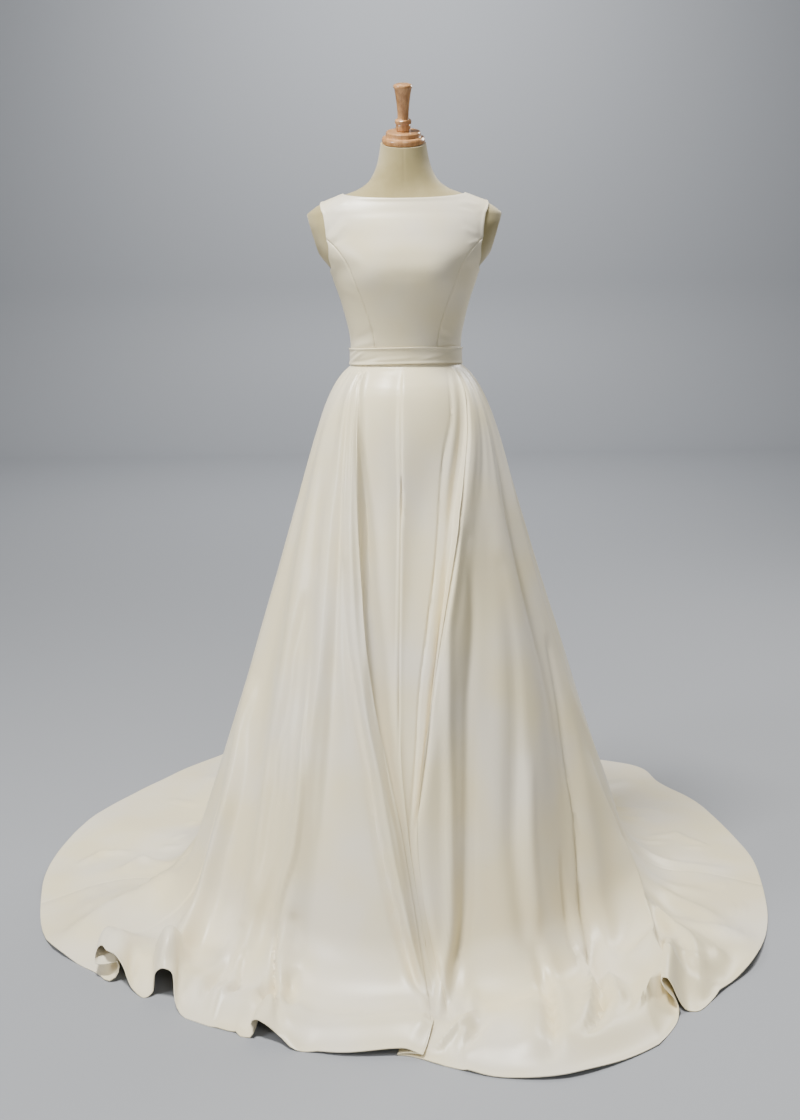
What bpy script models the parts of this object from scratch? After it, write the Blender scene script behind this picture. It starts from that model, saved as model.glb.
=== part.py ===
"""A sleeveless A-line wedding dress with a sweep train, worn on a limbless dress form.

Metres, +Z up.  The origin is the centre of the stand's foot on the floor, and the
dress faces -Y.  Azimuths are in degrees round the axis: 0 is the front, +90 the
viewer's right, 180 the back.
"""
import math
from typing import NamedTuple

import bmesh
import bpy
import numpy as np
from mathutils import Matrix, Vector

# Driving sizes
CLOTH = 0.0015
FORM_CLEARANCE = 0.0014
SEAM_GAP = 0.0003
WAIST_Z = 1.0925
BELT_HEIGHT = 0.035
BELT_CLEARANCE = 0.0007
BELT_THICKNESS = 0.002
ARMHOLE_Z = 1.267
PRINCESS_TOP_Z = 1.335
STRAP_OUTER_Z = 1.411
NECK_SIDE_Z = 1.4275
NECK_FRONT_Z = 1.415
NECK_BACK_Z = 1.402
NECK_CAP_Z = 1.5345
NECK_TILT = math.radians(18)
NECK_START_Z = 1.46
NECKLINE_START_Z = 1.36
FORM_BOTTOM_Z = 0.76
ZIP_WIDTH = 0.003
SKIRT_HIP_RADIUS = 0.147
SKIRT_HOLLOW = 0.009
FOOT_RADIUS = 0.462
FOOT_RADIUS_EXTRA_BACK = 0.11
FLOOR_BEND = 0.13
SPRING_LENGTH = 0.040
LEFT_SEAM = -78.0
RIGHT_SEAM = 100.0
FIRST_LABEL = -180.0
LAST_LABEL = 210.0


class Section(NamedTuple):
    """One level of the dress form."""

    z: float
    half_width: float
    front: float
    back: float


FORM_SECTIONS = (
    Section(0.760, 0.150, 0.104, 0.112),
    Section(0.820, 0.166, 0.114, 0.126),
    Section(0.900, 0.163, 0.111, 0.121),
    Section(0.980, 0.140, 0.099, 0.101),
    Section(1.040, 0.116, 0.087, 0.086),
    Section(1.070, 0.1112, 0.0845, 0.0828),
    Section(1.092, 0.1112, 0.0848, 0.0828),
    Section(1.125, 0.1125, 0.088, 0.083),
    Section(1.167, 0.1205, 0.097, 0.086),
    Section(1.210, 0.1320, 0.109, 0.092),
    Section(1.250, 0.1460, 0.1195, 0.097),
    Section(1.272, 0.1530, 0.1220, 0.099),
    Section(1.300, 0.1740, 0.1180, 0.101),
    Section(1.340, 0.1920, 0.1030, 0.101),
    Section(1.372, 0.2020, 0.0880, 0.096),
    Section(1.386, 0.2020, 0.0800, 0.090),
    Section(1.400, 0.1885, 0.0730, 0.083),
    Section(1.411, 0.1700, 0.0670, 0.077),
    Section(1.4275, 0.1250, 0.0590, 0.065),
    Section(1.440, 0.0935, 0.0545, 0.059),
    Section(1.455, 0.0735, 0.0515, 0.055),
    Section(1.474, 0.0620, 0.0495, 0.052),
    Section(1.495, 0.0545, 0.0485, 0.050),
    Section(1.515, 0.0505, 0.0478, 0.049),
    Section(NECK_CAP_Z, 0.0475, 0.0475, 0.0475),
)
BUST_X = 0.078
BUST_Z = 1.262
BUST_RISE = 0.007
BUST_SPREAD = 0.044


class SeamPoint(NamedTuple):
    """Half the distance between a seam or an edge and its mirror image."""

    z: float
    x: float


PRINCESS_SEAM = (
    SeamPoint(WAIST_Z, 0.058), SeamPoint(1.15, 0.068), SeamPoint(1.20, 0.083),
    SeamPoint(1.25, 0.102), SeamPoint(1.276, 0.112), SeamPoint(1.293, 0.121),
    SeamPoint(1.314, 0.137), SeamPoint(PRINCESS_TOP_Z, 0.158),
)
ARMHOLE = (
    SeamPoint(PRINCESS_TOP_Z, 0.158), SeamPoint(1.355, 0.160), SeamPoint(1.375, 0.163),
    SeamPoint(1.40, 0.168), SeamPoint(STRAP_OUTER_Z, 0.1705),
)


class UnderarmPoint(NamedTuple):
    """The armhole's lower edge on a side panel: share of the panel's width, and height."""

    share: float
    z: float


UNDERARM = (
    UnderarmPoint(0.0, PRINCESS_TOP_Z), UnderarmPoint(0.35, 1.300),
    UnderarmPoint(0.57, 1.280), UnderarmPoint(1.0, ARMHOLE_Z),
)


class Line(NamedTuple):
    """A line that the cloth's grain follows: its place on the flat cloth, and its azimuths."""

    label: float
    belt: float
    hip: float
    thigh: float
    knee: float
    shin: float
    floor: float
    hem: float


# Lengths down the cloth of the columns belt to shin; floor and hem have their own
STATIONS = (0.0, 0.15, 0.36, 0.65, 0.92)
GRAIN = (
    Line(-180, -180, -180, -180, -180, -180, -180, -180),
    Line(-110, -112, -112, -112, -112, -111, -110, -110),
    Line(-78, -90, -92, -92, -92, -93, -92, -83),
    Line(-71, -86, -86, -87, -87, -84, -83, -70),
    Line(-62, -80, -82, -82, -80, -65, -57, -49),
    Line(-44, -66, -62, -57, -47, -43, -40, -36),
    Line(-27, -57, -41, -30, -28, -28, -27, -26),
    Line(-10, -54, -36, -26, -17, -9, -7, -9),
    Line(0, -50, -33, -21, -10, -3.5, 2, 1),
    Line(24, 60, 45, 25, 7, 2, 7, 6),
    Line(38, 68, 56, 36, 22, 15, 11, 10),
    Line(60, 80, 70, 60, 59, 50, 39, 31),
    Line(74, 90, 84, 73, 71, 80, 63, 47),
    Line(83, 92, 88, 80, 80, 86, 73, 58),
    Line(100, 96, 95, 93, 92, 94, 92, 86),
    Line(130, 114, 114, 113, 113, 113, 113, 113),
    Line(210, 180, 180, 180, 180, 180, 180, 180),
)


class Fold(NamedTuple):
    """A fold along the grain: its label, its reach to each side, its rise in mm."""

    label: float
    left: float
    right: float
    hip: float
    thigh: float
    knee: float
    floor: float
    hem: float


FOLDS = (
    Fold(-170, 9, 9, 2, 10, 20, 20, 4), Fold(-156, 7, 7, -2, -10, -18, -10, 0),
    Fold(-142, 8, 7, 2, 9, 20, 24, 8), Fold(-128, 7, 7, -2, -9, -17, -10, 0),
    Fold(-113, 8, 8, 2, 4, 7, 8, 5), Fold(-99, 6, 7, -2, -6, -10, -8, 0),
    Fold(-84, 6, 4, 1, 3, 5, 4, 3), Fold(-71, 2.6, 5, 0, 2, 5, 16, 14),
    Fold(-61, 3.2, 6, 1, 4, 10, 34, 14), Fold(-54, 4, 5, 0, -6, -16, -12, 0),
    Fold(-47, 4, 4, 1, 4, 8, 10, 3), Fold(-41, 4, 5, -2, -8, -14, -6, 0),
    Fold(-31, 6, 3, 3, 10, 14, 16, 8), Fold(-25, 2.5, 5, -2, -6, -10, -4, 0),
    Fold(-4, 12, 2.2, 6, 14, 20, 15, 6), Fold(28, 2.2, 7, 6, 14, 18, 11, 4),
    Fold(39, 6, 6, -2, -8, -14, -8, 0), Fold(50, 7, 6, 2, 8, 13, 12, 6),
    Fold(60, 4, 4, -3, -12, -19, -14, 0), Fold(73, 7, 4.0, 2, 6, 8, 28, 12),
    Fold(84, 4.0, 4.0, 0, 0, 0, 6, 10), Fold(108, 5, 8, 1, 2, 3, 6, 5),
    Fold(122, 6, 6, -2, -7, -12, -8, 0), Fold(136, 8, 8, 2, 4, 7, 8, 5),
    Fold(151, 7, 7, -2, -9, -17, -10, 0), Fold(166, 8, 7, 2, 9, 20, 24, 8),
    Fold(180, 7, 7, -2, -10, -18, -10, 0), Fold(195, 7, 9, 2, 10, 19, 20, 4),
)
RECESS_LEFT = 0.0
RECESS_RIGHT = 24.0
RECESS_SIDE = 3.2
RECESS_DEPTH_MM = (0.0, 16.0, 34.0, 26.0, 4.0, 0.0, 0.0)
RECESS_FOLDS = (Fold(9.4, 2.4, 2.4, 3, 9, 7, 0, 0), Fold(19, 2.4, 2.0, 2, 6, 5, 0, 0))


class HemPoint(NamedTuple):
    """How far the hem lies from the axis."""

    azimuth: float
    radius: float


HEM = (
    HemPoint(-180, 0.930), HemPoint(-160, 0.900), HemPoint(-146, 0.867), HemPoint(-131, 0.838),
    HemPoint(-113, 0.810), HemPoint(-98, 0.786), HemPoint(-84, 0.757), HemPoint(-70, 0.738),
    HemPoint(-60, 0.690), HemPoint(-53, 0.662), HemPoint(-45, 0.640), HemPoint(-36, 0.643),
    HemPoint(-25, 0.634), HemPoint(-12, 0.642), HemPoint(-2, 0.632), HemPoint(4, 0.664),
    HemPoint(11, 0.709), HemPoint(20, 0.737), HemPoint(33, 0.728), HemPoint(41, 0.695),
    HemPoint(50, 0.700), HemPoint(60, 0.714), HemPoint(80, 0.714), HemPoint(96, 0.729),
    HemPoint(110, 0.750), HemPoint(121, 0.776), HemPoint(130, 0.798), HemPoint(136, 0.845),
    HemPoint(150, 0.870), HemPoint(180, 0.930),
)


class Curl(NamedTuple):
    """A wave that stands up at the hem: its azimuth, reach, notch and height."""

    azimuth: float
    reach: float
    notch: float
    lift: float


CURLS = (
    Curl(-150, 6.0, 0.010, 0.014), Curl(-59, 3.8, 0.018, 0.018), Curl(-48.5, 3.6, 0.044, 0.020),
    Curl(-25, 3.2, 0.030, 0.020), Curl(2, 3.0, 0.010, 0.020), Curl(44.5, 4.0, 0.055, 0.020),
    Curl(60, 4.0, 0.000, 0.006), Curl(142, 4.0, 0.050, 0.020), Curl(162, 6.0, 0.010, 0.014),
)
CURL_LENGTH = 0.16
BELT_EASE = 0.03
FOLD_CUTOFF = 3.0
PROFILE_STEP = 0.25
CONE_POINTS = 40
BEND_POINTS = 14
LEAST_ON_FLOOR = 0.02

# Steps at which the slopes of the surfaces are taken
FORM_ANGLE_STEP = 0.5
FORM_HEIGHT_STEP = 0.0015
LENGTH_STEP = 0.004
LABEL_STEP = 0.2
SHARE_STEP = 0.002
SEAM_LABEL_STEP = 0.1


class ColumnStep(NamedTuple):
    """Labels between which the grid's columns have one spacing."""

    low: float
    high: float
    step: float


COLUMN_STEPS = (
    ColumnStep(-180, -90, 6.5), ColumnStep(-90, -74, 3.5), ColumnStep(-74, -50, 2.4),
    ColumnStep(-50, -6, 3.7), ColumnStep(-6, 3, 1.5), ColumnStep(3, 21, 2.25),
    ColumnStep(21, 30, 1.5), ColumnStep(30, 66, 3.6), ColumnStep(66, 100, 2.5),
    ColumnStep(100, 210, 6.9),
)
BELT_ROWS = (0.0, 0.0172, 0.026, 0.042, 0.072, 0.115)
HIP_SHARE = 0.13
CONE_ROWS = 6
CONE_SHARE = 0.66
FLOOR_ROWS = 9
BODICE_LOWER_ROWS = 11
BODICE_UPPER_ROWS = 7
STRAP_ROWS = 3
FRONT_COLUMNS = 16
SIDE_COLUMNS = 6
BACK_COLUMNS = 8
BELT_COLUMNS = 50
BELT_EDGE_EXTRA = 0.35
FORM_COLUMNS = 26
FORM_ROW_STEP = 0.018
LATHE_STEPS = 20

MATERIALS = {
    "satin": ((0.80, 0.78, 0.72), 0.42, 0.0),
    "form_cover": ((0.74, 0.69, 0.55), 0.85, 0.0),
    "wood": ((0.60, 0.34, 0.15), 0.38, 0.0),
    "stand_metal": ((0.10, 0.10, 0.11), 0.35, 0.9),
}


def clear_scene():
    for obj in list(bpy.data.objects):
        bpy.data.objects.remove(obj, do_unlink=True)


def make_material(name):
    colour, roughness, metallic = MATERIALS[name]
    material = bpy.data.materials.new(name)
    material.use_nodes = True
    shader = material.node_tree.nodes["Principled BSDF"]
    shader.inputs["Base Color"].default_value = (*colour, 1.0)
    shader.inputs["Roughness"].default_value = roughness
    shader.inputs["Metallic"].default_value = metallic
    return material


def add_object(name, mesh_data, material):
    mesh = bpy.data.meshes.new(name)
    mesh_data.to_mesh(mesh)
    mesh_data.free()
    mesh.materials.append(material)
    mesh.shade_smooth()
    mesh.set_sharp_from_angle(angle=math.radians(40))
    obj = bpy.data.objects.new(name, mesh)
    bpy.context.collection.objects.link(obj)
    return obj


def ease(x):
    """A smooth step from 0 to 1."""
    x = min(max(x, 0.0), 1.0)
    return x * x * (3.0 - 2.0 * x)


def slopes(xs, ys):
    """Slopes of a smooth curve through a table that never overshoots its points."""
    steps = np.diff(xs)
    rises = np.diff(ys) / steps
    out = np.zeros(len(xs))
    for i in range(1, len(xs) - 1):
        before, after = rises[i - 1], rises[i]
        if before * after > 0:
            out[i] = 2 * before * after / (before + after)
    out[0], out[-1] = rises[0], rises[-1]
    return out


class SmoothTable:
    """A smooth curve through the columns of a table."""

    def __init__(self, xs, ys):
        self.xs = np.array(xs, float)
        self.ys = np.array(ys, float)
        self.slopes = slopes(self.xs, self.ys)

    def __call__(self, x):
        i = int(np.clip(np.searchsorted(self.xs, x) - 1, 0, len(self.xs) - 2))
        width = self.xs[i + 1] - self.xs[i]
        t = min(max((x - self.xs[i]) / width, 0.0), 1.0)
        a, b = self.ys[i], self.ys[i + 1]
        da, db = self.slopes[i] * width, self.slopes[i + 1] * width
        return float(a + t * (da + t * (3 * (b - a) - 2 * da - db + t * (2 * (a - b) + da + db))))


def column(table, name):
    return [getattr(row, name) for row in table]


SECTION_Z = column(FORM_SECTIONS, "z")
HALF_WIDTH = SmoothTable(SECTION_Z, column(FORM_SECTIONS, "half_width"))
FRONT_DEPTH = SmoothTable(SECTION_Z, column(FORM_SECTIONS, "front"))
BACK_DEPTH = SmoothTable(SECTION_Z, column(FORM_SECTIONS, "back"))
PRINCESS_X = SmoothTable(column(PRINCESS_SEAM, "z"), column(PRINCESS_SEAM, "x"))
ARMHOLE_X = SmoothTable(column(ARMHOLE, "z"), column(ARMHOLE, "x"))
UNDERARM_Z = SmoothTable(column(UNDERARM, "share"), column(UNDERARM, "z"))
HEM_RADIUS = SmoothTable(column(HEM, "azimuth"), column(HEM, "radius"))


def form_point(z, angle):
    """A point of the dress form's surface at a height and an angle from the front."""
    a = math.radians(angle)
    x = HALF_WIDTH(z) * math.sin(a)
    facing = math.cos(a)
    if facing > 0:
        bust = math.exp(-((z - BUST_Z) / BUST_SPREAD) ** 2)
        sides = math.exp(-((abs(x) - BUST_X) / BUST_SPREAD) ** 2)
        y = -(FRONT_DEPTH(z) + BUST_RISE * bust * sides) * facing
    else:
        y = -BACK_DEPTH(z) * facing
    tilt = ease((z - NECK_START_Z) / (NECK_CAP_Z - NECK_START_Z)) * math.tan(NECK_TILT)
    return Vector((x, y, z + y * tilt))


def normal_of(surface, a, b, step_a, step_b):
    """The surface's normal, from its slopes in its two parameters."""
    along_a = surface(a + step_a, b) - surface(a - step_a, b)
    along_b = surface(a, b + step_b) - surface(a, b - step_b)
    return along_a.cross(along_b).normalized()


def form_offset(z, angle, distance):
    """A point that stands off the form's surface by a distance."""
    normal = normal_of(form_point, z, angle, -FORM_HEIGHT_STEP, FORM_ANGLE_STEP)
    return form_point(z, angle) + normal * distance


def wall(rows_outer, rows_inner):
    """A closed wall between two grids of points of the same size."""
    bm = bmesh.new()
    outer = [[bm.verts.new(p) for p in row] for row in rows_outer]
    inner = [[bm.verts.new(p) for p in row] for row in rows_inner]
    last_row, last_column = len(outer) - 1, len(outer[0]) - 1
    for j in range(last_row):
        for i in range(last_column):
            bm.faces.new((outer[j][i], outer[j][i + 1], outer[j + 1][i + 1], outer[j + 1][i]))
            bm.faces.new((inner[j][i], inner[j + 1][i], inner[j + 1][i + 1], inner[j][i + 1]))
    for i in range(last_column):
        bm.faces.new((outer[0][i], inner[0][i], inner[0][i + 1], outer[0][i + 1]))
        bm.faces.new((outer[-1][i], outer[-1][i + 1], inner[-1][i + 1], inner[-1][i]))
    for j in range(last_row):
        bm.faces.new((outer[j][0], outer[j + 1][0], inner[j + 1][0], inner[j][0]))
        bm.faces.new((outer[j][-1], inner[j][-1], inner[j + 1][-1], outer[j + 1][-1]))
    bmesh.ops.triangulate(bm, faces=bm.faces[:])
    bmesh.ops.recalc_face_normals(bm, faces=bm.faces[:])
    return bm


def form_wall(grid, inside, thickness):
    """A wall that follows the form, from a grid of heights and angles."""
    inner = [[form_offset(z, angle, inside) for z, angle in row] for row in grid]
    outer = [[form_offset(z, angle, inside + thickness) for z, angle in row] for row in grid]
    return wall(outer, inner)


def spaced(start, end, count):
    return [start + (end - start) * i / count for i in range(count + 1)]


def angle_at(x, z):
    """The angle from the front at which the form's section is x wide of the axis."""
    return math.degrees(math.asin(min(x / HALF_WIDTH(z), 1.0)))


def gap_angle(z, gap):
    """The angle that a gap takes up on the form's section."""
    return math.degrees(gap / (0.5 * (HALF_WIDTH(z) + FRONT_DEPTH(z))))


def neckline_z(angle):
    """Height of the neckline at an angle from the front."""
    facing = math.cos(math.radians(angle))
    end = NECK_FRONT_Z if facing > 0 else NECK_BACK_Z
    return end + (NECK_SIDE_Z - end) * (1.0 - abs(facing) ** 1.5)


def row_height(z, angle):
    """Bends the bodice's level rows so that the top one follows the neckline."""
    share = ease((z - NECKLINE_START_Z) / (NECK_SIDE_Z - NECKLINE_START_Z))
    return z + (neckline_z(angle) - NECK_SIDE_Z) * share


def bodice_heights():
    """Levels of a centre panel's rows, closer together where the strap leaves the armhole."""
    lower = spaced(WAIST_Z, PRINCESS_TOP_Z, BODICE_LOWER_ROWS)
    shares = [1.0 - (1.0 - s) ** 2 for s in spaced(0.0, 1.0, BODICE_UPPER_ROWS)[1:]]
    upper = [PRINCESS_TOP_Z + (STRAP_OUTER_Z - PRINCESS_TOP_Z) * s for s in shares]
    return lower + upper + spaced(STRAP_OUTER_Z, NECK_SIDE_Z, STRAP_ROWS)[1:]


def centre_panel_edge(z):
    """Angle of a centre panel's edge: princess seam, armhole, then shoulder seam."""
    if z >= STRAP_OUTER_Z:
        return 90.0 - gap_angle(z, SEAM_GAP / 2)
    x = PRINCESS_X(z) if z <= PRINCESS_TOP_Z else ARMHOLE_X(z)
    return angle_at(x, z) - gap_angle(z, SEAM_GAP / 2)


def build_bodice_front(material):
    grid = []
    for z in bodice_heights():
        edge = centre_panel_edge(z)
        grid.append([(row_height(z, a), a) for a in spaced(-edge, edge, FRONT_COLUMNS)])
    return add_object("bodice_front", form_wall(grid, FORM_CLEARANCE, CLOTH), material)


def build_side_panel(side, front, name, material):
    """A panel between a princess seam and a side seam, cut off by the armhole."""
    grid = []
    for up in spaced(0.0, 1.0, BODICE_LOWER_ROWS):
        row = []
        for share in spaced(0.0, 1.0, SIDE_COLUMNS):
            z = WAIST_Z + (UNDERARM_Z(share) - WAIST_Z) * up
            start = angle_at(PRINCESS_X(z), z) + gap_angle(z, SEAM_GAP / 2)
            end = 90.0 - gap_angle(z, SEAM_GAP / 2)
            angle = start + (end - start) * share
            row.append((z, side * (angle if front else 180.0 - angle)))
        grid.append(sorted(row, key=lambda place: place[1]))
    return add_object(name, form_wall(grid, FORM_CLEARANCE, CLOTH), material)


def centre_back(z, width):
    """The angle of the centre-back edge of a back panel."""
    return 180.0 - math.degrees(width / HALF_WIDTH(z))


def build_back(side, name, material):
    grid = []
    for z in bodice_heights():
        start = 180.0 - centre_panel_edge(z)
        end = centre_back(z, ZIP_WIDTH / 2 + SEAM_GAP)
        row = [(row_height(z, a), side * a) for a in spaced(start, end, BACK_COLUMNS)]
        grid.append(row if side > 0 else row[::-1])
    return add_object(name, form_wall(grid, FORM_CLEARANCE, CLOTH), material)


def build_back_zip(material):
    """The closed teeth of the concealed zip, a narrow strip down the centre back."""
    grid = []
    for z in bodice_heights():
        half = 180.0 - centre_back(z, ZIP_WIDTH / 2)
        angles = (180.0 - half, 180.0 + half)
        grid.append([(row_height(z, a), a) for a in angles])
    return add_object("back_zip", form_wall(grid, FORM_CLEARANCE, CLOTH), material)


def build_belt(material):
    """A folded band over the waist seam, whose ends meet at the centre back."""
    inside = FORM_CLEARANCE + CLOTH + BELT_CLEARANCE
    bottom = WAIST_Z - BELT_HEIGHT / 2
    end = centre_back(WAIST_Z, SEAM_GAP / 2)
    angles = spaced(-end, end, BELT_COLUMNS)
    inner, outer = [], []
    for z in spaced(bottom, bottom + BELT_HEIGHT, 2):
        edge = abs(z - WAIST_Z) / (BELT_HEIGHT / 2)
        thickness = BELT_THICKNESS * (1.0 + BELT_EDGE_EXTRA * ease(edge))
        level = max(z, WAIST_Z)
        shift = Vector((0.0, 0.0, z - level))
        inner.append([form_offset(level, a, inside) + shift for a in angles])
        outer.append([form_offset(level, a, inside + thickness) + shift for a in angles])
    return add_object("waist_belt", wall(outer, inner), material)


class SkirtProfile:
    """The fold-free cloth from belt to hem at one azimuth, by length from the belt."""

    def __init__(self, azimuth, hem_radius):
        waist = form_offset(WAIST_Z, self.form_angle(azimuth), FORM_CLEARANCE + CLOTH)
        self.waist_radius = waist.to_2d().length
        back_share = ((1.0 - math.cos(math.radians(azimuth))) / 2.0) ** 4
        self.foot = FOOT_RADIUS + FOOT_RADIUS_EXTRA_BACK * back_share
        self.radii, self.heights, self.lengths = [], [], []
        self.trace(hem_radius)
        self.bend_length = self.lengths[-2 - BEND_POINTS]
        self.floor_length = self.lengths[-2]

    @staticmethod
    def form_angle(azimuth):
        """The form's angle whose point lies at an azimuth."""
        a = math.radians(azimuth)
        depth = FRONT_DEPTH(WAIST_Z) if math.cos(a) > 0 else BACK_DEPTH(WAIST_Z)
        return math.degrees(math.atan2(math.sin(a) / HALF_WIDTH(WAIST_Z), math.cos(a) / depth))

    def cone_radius(self, z):
        straight = self.foot - (self.foot - SKIRT_HIP_RADIUS) * z / WAIST_Z
        straight -= SKIRT_HOLLOW * math.sin(math.pi * z / WAIST_Z)
        spring = math.exp(-max(WAIST_Z - BELT_HEIGHT / 2 - z, 0.0) / SPRING_LENGTH)
        return straight + (self.waist_radius - SKIRT_HIP_RADIUS) * spring

    def trace(self, hem_radius):
        """Lays the outline's points down: behind the belt, the cone, the bend, the floor."""
        lean = math.atan((self.foot - SKIRT_HIP_RADIUS) / WAIST_Z)
        turn = math.pi / 2 - lean
        bend_z = CLOTH + FLOOR_BEND * (1.0 - math.cos(turn))
        belt_bottom = WAIST_Z - BELT_HEIGHT / 2
        points = [(self.waist_radius, WAIST_Z - SEAM_GAP), (self.waist_radius, belt_bottom)]
        flare = self.cone_radius(belt_bottom) - self.waist_radius
        for z in spaced(belt_bottom, bend_z, CONE_POINTS)[1:]:
            fade = math.exp(-(belt_bottom - z) / SPRING_LENGTH)
            points.append((self.cone_radius(z) - flare * fade, z))
        start_r = points[-1][0]
        for a in spaced(0.0, turn, BEND_POINTS)[1:]:
            r = start_r + FLOOR_BEND * (math.sin(turn) - math.sin(turn - a))
            points.append((r, CLOTH + FLOOR_BEND * (1.0 - math.cos(turn - a))))
        points.append((max(hem_radius, points[-1][0] + LEAST_ON_FLOOR), CLOTH))
        length, last = 0.0, points[0]
        for point in points:
            length += math.dist(point, last)
            last = point
            self.radii.append(point[0])
            self.heights.append(point[1])
            self.lengths.append(length)

    def at(self, length):
        """Radius, height and upward normal of the cloth at a length from the belt."""
        low = max(length - LENGTH_STEP, 0.0)
        high = min(length + LENGTH_STEP, self.lengths[-1])
        r, r_low, r_high = np.interp((length, low, high), self.lengths, self.radii)
        z, z_low, z_high = np.interp((length, low, high), self.lengths, self.heights)
        size = math.hypot(r_high - r_low, z_high - z_low)
        return r, z, (z_low - z_high) / size, (r_high - r_low) / size


class Skirt:
    """The skirt's outer surface by label (its place round the cloth) and share of its length."""

    def __init__(self):
        labels = column(GRAIN, "label")
        names = ("belt", "hip", "thigh", "knee", "shin", "floor", "hem")
        self.grain = [SmoothTable(labels, column(GRAIN, name)) for name in names]
        self.profiles = {}

    def profile(self, azimuth):
        """The fold-free profile at the nearest azimuth of a fine scale."""
        key = round(azimuth / PROFILE_STEP)
        if key not in self.profiles:
            azimuth = key * PROFILE_STEP
            self.profiles[key] = SkirtProfile(azimuth, HEM_RADIUS(azimuth))
        return self.profiles[key]

    def stations(self, label):
        """Lengths at which the grain's azimuths hold on a label's line, and its whole length."""
        profile = self.profile(self.grain[-1](label))
        total = profile.lengths[-1]
        return list(STATIONS) + [profile.floor_length, total], total

    @staticmethod
    def rise(fold, stations, length):
        """How far a fold's crest stands off the cloth at a length."""
        shin = 0.5 * (fold.knee + fold.floor)
        heights = (0.0, fold.hip, fold.thigh, fold.knee, shin, fold.floor, fold.hem)
        return SmoothTable(stations, heights)(length) / 1000.0

    def fold_height(self, label, stations, length, floorness):
        """The sum of the folds and the recess; nothing sinks into the floor."""
        total = 0.0
        turn = LAST_LABEL - FIRST_LABEL
        for fold in FOLDS + RECESS_FOLDS:
            away = (label - fold.label + turn / 2) % turn - turn / 2
            distance = away / (fold.left if away < 0 else fold.right)
            if abs(distance) < FOLD_CUTOFF:
                rise = self.rise(fold, stations, length)
                if rise < 0.0:
                    rise *= 1.0 - floorness
                total += rise * math.exp(-distance * distance)
        inside = ease((label - RECESS_LEFT) / RECESS_SIDE) * ease((RECESS_RIGHT - label) / RECESS_SIDE)
        depth = SmoothTable(stations, RECESS_DEPTH_MM)(length) / 1000.0
        return total - depth * inside * (1.0 - floorness)

    def point(self, label, share):
        """The cloth's outer surface at a label and a share of the way from belt to hem."""
        stations, total = self.stations(label)
        length = share * total
        azimuth = SmoothTable(stations, [row(label) for row in self.grain])(length)
        low = math.floor(azimuth / PROFILE_STEP) * PROFILE_STEP
        mix = (azimuth - low) / PROFILE_STEP
        r = z = out = up = bend = floor = 0.0
        for place, weight in ((low, 1.0 - mix), (low + PROFILE_STEP, mix)):
            part = self.profile(place)
            own = length + (part.lengths[-1] - total) * ease((share - 0.5) / 0.5)
            values = part.at(own)
            r, z = r + weight * values[0], z + weight * values[1]
            out, up = out + weight * values[2], up + weight * values[3]
            bend, floor = bend + weight * part.bend_length, floor + weight * part.floor_length
        floorness = ease((length - bend) / (floor - bend))
        height = self.fold_height(label, stations, length, floorness)
        hem_nearness = ease((length - (total - CURL_LENGTH)) / CURL_LENGTH)
        for curl in CURLS:
            share_of_curl = hem_nearness * math.exp(-((azimuth - curl.azimuth) / curl.reach) ** 2)
            height += curl.lift * share_of_curl
            r -= curl.notch * share_of_curl
        start = ease((length - BELT_HEIGHT / 2) / BELT_EASE)
        r += out * height * start
        z += up * height * start
        a = math.radians(azimuth)
        return Vector((r * math.sin(a), -r * math.cos(a), max(z, CLOTH)))

    def inner_point(self, label, share):
        """The same point on the cloth's inner side."""
        share_in = min(max(share, SHARE_STEP), 1.0 - SHARE_STEP)
        normal = normal_of(self.point, label, share_in, LABEL_STEP, -SHARE_STEP)
        inner = self.point(label, share) - normal * CLOTH
        return Vector((inner.x, inner.y, max(inner.z, 0.0)))


def column_labels(start, end):
    """Labels of the grid columns between two seams, closer together at the front recess."""
    labels = []
    for part in COLUMN_STEPS:
        labels += spaced(part.low, part.high, round((part.high - part.low) / part.step))[:-1]
    inner = [label for label in labels if start + 1.0 < label < end - 1.0]
    return [start] + inner + [end]


def row_shares(skirt, label):
    """Shares of the cloth's length at which the grid has its rows."""
    total = skirt.stations(label)[1]
    belt = [length / total for length in BELT_ROWS]
    return belt + spaced(HIP_SHARE, CONE_SHARE, CONE_ROWS)[:-1] + spaced(CONE_SHARE, 1.0, FLOOR_ROWS)


def seam_points(skirt, label, share, inward):
    """Outer and inner points beside a seam, half the seam's gap away from it."""
    along = skirt.point(label + SEAM_LABEL_STEP * inward, share) - skirt.point(label, share)
    offset = along.normalized() * (SEAM_GAP / 2)
    return skirt.point(label, share) + offset, skirt.inner_point(label, share) + offset


def build_skirt_panel(skirt, name, start, end, material):
    columns = []
    for label in column_labels(start, end):
        points = []
        for share in row_shares(skirt, label):
            if label in (start, end):
                points.append(seam_points(skirt, label, share, 1 if label == start else -1))
            else:
                points.append((skirt.point(label, share), skirt.inner_point(label, share)))
        columns.append(points[::-1])
    outer = [[points[0] for points in row] for row in zip(*columns)]
    inner = [[points[1] for points in row] for row in zip(*columns)]
    return add_object(name, wall(outer, inner), material)


def form_rows():
    count = round((NECK_CAP_Z - FORM_BOTTOM_Z) / FORM_ROW_STEP)
    return spaced(FORM_BOTTOM_Z, NECK_CAP_Z, count)


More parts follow.
